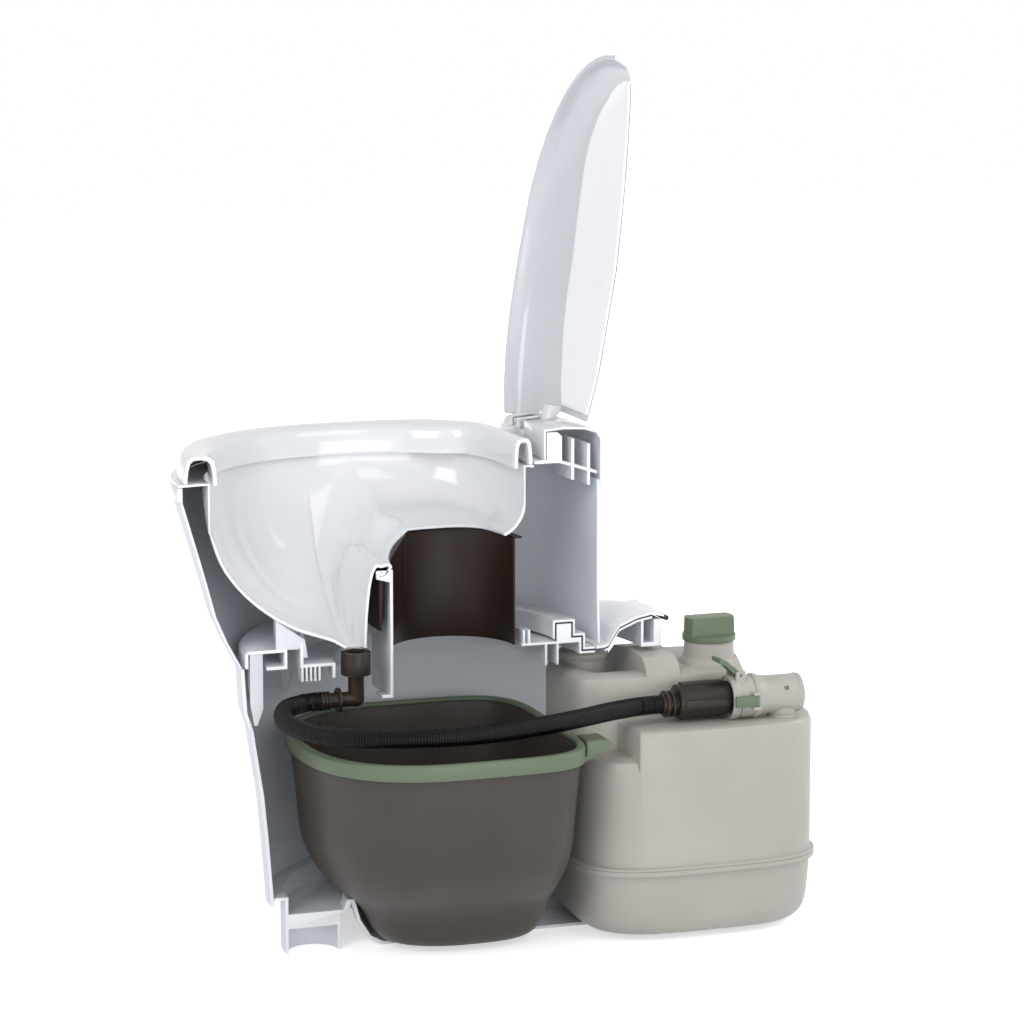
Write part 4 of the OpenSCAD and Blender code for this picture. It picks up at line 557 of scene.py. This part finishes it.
def ribbed_hose(way):
    """A corrugated hose with its bore: each rib is a crest, two shoulders and a groove."""
    spans = [0.0]
    for a, b in zip(way, way[1:]):
        spans.append(spans[-1] + (b - a).length)
    length = spans[-1]

    def at(s):
        """The way's point and direction at a length along it."""
        i = 0
        while i < len(spans) - 2 and spans[i + 1] < s:
            i += 1
        t = (s - spans[i]) / (spans[i + 1] - spans[i])
        return way[i].lerp(way[i + 1], t), (way[min(i + 1, len(way) - 1)] - way[i]).normalized()

    outer, bore = HOSE_D / 2 * MM, HOSE_BORE / 2 * MM
    shoulder, groove = 1 - SHOULDER * GROOVE / (HOSE_D / 2), 1 - GROOVE / (HOSE_D / 2)
    shape = [(0.12, 1.0), (0.38, 1.0), (0.56, shoulder), (0.68, groove), (0.82, groove), (0.94, shoulder)]
    rings = [(0.0, bore), (0.0, outer)]
    for i in range(HOSE_RIBS):
        rings += [((i + share) / HOSE_RIBS * length, outer * size) for share, size in shape]
    rings += [(length, outer), (length, bore)]
    inner_steps = HOSE_RIBS // 2
    rings += [(length * (1 - k / inner_steps), bore) for k in range(1, inner_steps)]
    verts, faces = [], []
    for s, radius in rings:
        centre, along = at(min(max(s, 0), length))
        if s < HOSE_STRAIGHT * MM:
            along = Vector((-1, 0, 0))
        if s > length - HOSE_STRAIGHT * MM:
            along = Vector((1, 0, 0))
        side = along.cross(Vector((0, 0, 1))).normalized()
        up = side.cross(along)
        for k in range(HOSE_SIDES):
            turn = 2 * math.pi * k / HOSE_SIDES
            verts.append(centre + (side * math.cos(turn) + up * math.sin(turn)) * radius)
    for i in range(len(rings)):
        for k in range(HOSE_SIDES):
            here, there = i * HOSE_SIDES, (i + 1) % len(rings) * HOSE_SIDES
            n = (k + 1) % HOSE_SIDES
            faces.append((here + k, there + k, there + n, here + n))
    mesh = bpy.data.meshes.new("ribbed_hose")
    mesh.from_pydata([tuple(v) for v in verts], [], faces)
    mesh.validate()
    hose = bpy.data.objects.new("ribbed_hose", mesh)
    bpy.context.collection.objects.link(hose)
    return hose, length


hose_way = smooth_way(ROUTE, WAY_STEPS)
hose, hose_length = ribbed_hose(hose_way)
hose.data.materials.append(HOSE)
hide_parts("drain_hose")
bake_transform(hose)


# Studio: a white sheet under the object, softboxes, a low fill and a pale sky. The sheet's side, its gap
# under the object and the distances between which its glow grows are in metres.
SHEET, SHEET_GAP = 14, 0.5 * MM
NEAR, FAR, GLOW_NEAR, GLOW_FAR = 0.5, 1.6, 0.55, 1.0


def camera_sees(tree):
    """1 where the camera looks, straight, in a reflection or through glass."""
    rays = add(tree, "ShaderNodeLightPath")
    seen = rays.outputs["Is Camera Ray"]
    for kind in ("Is Glossy Ray", "Is Transmission Ray"):
        either = add(tree, "ShaderNodeMath", links={0: seen, 1: rays.outputs[kind]}, operation="MAXIMUM")
        seen = either.outputs[0]
    return seen


def pale_sky():
    """A soft, slightly cool light from all sides, which the camera sees as white."""
    world = bpy.data.worlds.new("studio")
    world.use_nodes = True
    bpy.context.scene.world = world
    sky = world.node_tree
    sky.nodes.clear()
    soft = add(sky, "ShaderNodeBackground", {"Color": paint("#F4F6FA"), "Strength": 0.68})
    white = add(sky, "ShaderNodeBackground", {"Color": (1, 1, 1, 1), "Strength": 1.0})
    both = add(sky, "ShaderNodeMixShader",
               links={0: camera_sees(sky), 1: soft.outputs[0], 2: white.outputs[0]})
    add(sky, "ShaderNodeOutputWorld", links={"Surface": both.outputs[0]})


def softbox(name, place, size, power, towards):
    """A rectangular lamp at a place, in metres, with its power in watts, turned towards a point."""
    data = bpy.data.lights.new(name, "AREA")
    data.shape = "RECTANGLE"
    data.size, data.size_y = size
    data.energy = power
    light = bpy.data.objects.new(name, data)
    light.location = place
    light.rotation_euler = (Vector(towards) - Vector(place)).to_track_quat("-Z", "Y").to_euler()
    bpy.context.collection.objects.link(light)


def paper_white():
    """Paper, matt white: it keeps the object's shadow and glows up to full white farther away."""
    paper, tree, place = blank("paper_white_matt")
    sheet = add(tree, "ShaderNodeBsdfDiffuse", {"Color": paint("#F2F3F5")})
    away = add(tree, "ShaderNodeVectorMath", links={0: place}, operation="LENGTH")
    fade = add(tree, "ShaderNodeMapRange",
               {"From Min": NEAR, "From Max": FAR, "To Min": GLOW_NEAR, "To Max": GLOW_FAR},
               {"Value": away.outputs["Value"]})
    glow = add(tree, "ShaderNodeEmission", {"Color": (1, 1, 1, 1)}, {"Strength": fade.outputs["Result"]})
    lit = add(tree, "ShaderNodeAddShader", links={0: sheet.outputs[0], 1: glow.outputs[0]})
    mixed = add(tree, "ShaderNodeMixShader",
                links={0: camera_sees(tree), 1: sheet.outputs[0], 2: lit.outputs[0]})
    add(tree, "ShaderNodeOutputMaterial", links={"Surface": mixed.outputs[0]})
    return paper


pale_sky()
softbox("key_softbox", (-1.7, -1.5, 1.9), (1.2, 1.6), 21, (0.05, 0, 0.4))
softbox("front_softbox", (-0.2, -2.9, 1.0), (2.0, 1.2), 6, (0.1, 0, 0.3))
softbox("window_softbox", (1.0, -2.1, 2.3), (1.2, 1.5), 10, (-0.06, 0.14, 0.44))
softbox("low_fill", (0.3, -2.9, 0.4), (1.6, 0.8), 11, (-0.2, 0, 0.38))
softbox("right_strip", (2.0, -0.3, 1.3), (0.6, 1.6), 12, (0.1, 0, 0.35))

bpy.ops.object.select_all(action="DESELECT")
bpy.ops.mesh.primitive_plane_add(size=SHEET, location=(0, 0, CAD_BOX[0][2] - SHEET_GAP))
floor = bpy.context.active_object
floor.name = "paper_floor"
floor.data.materials.append(paper_white())
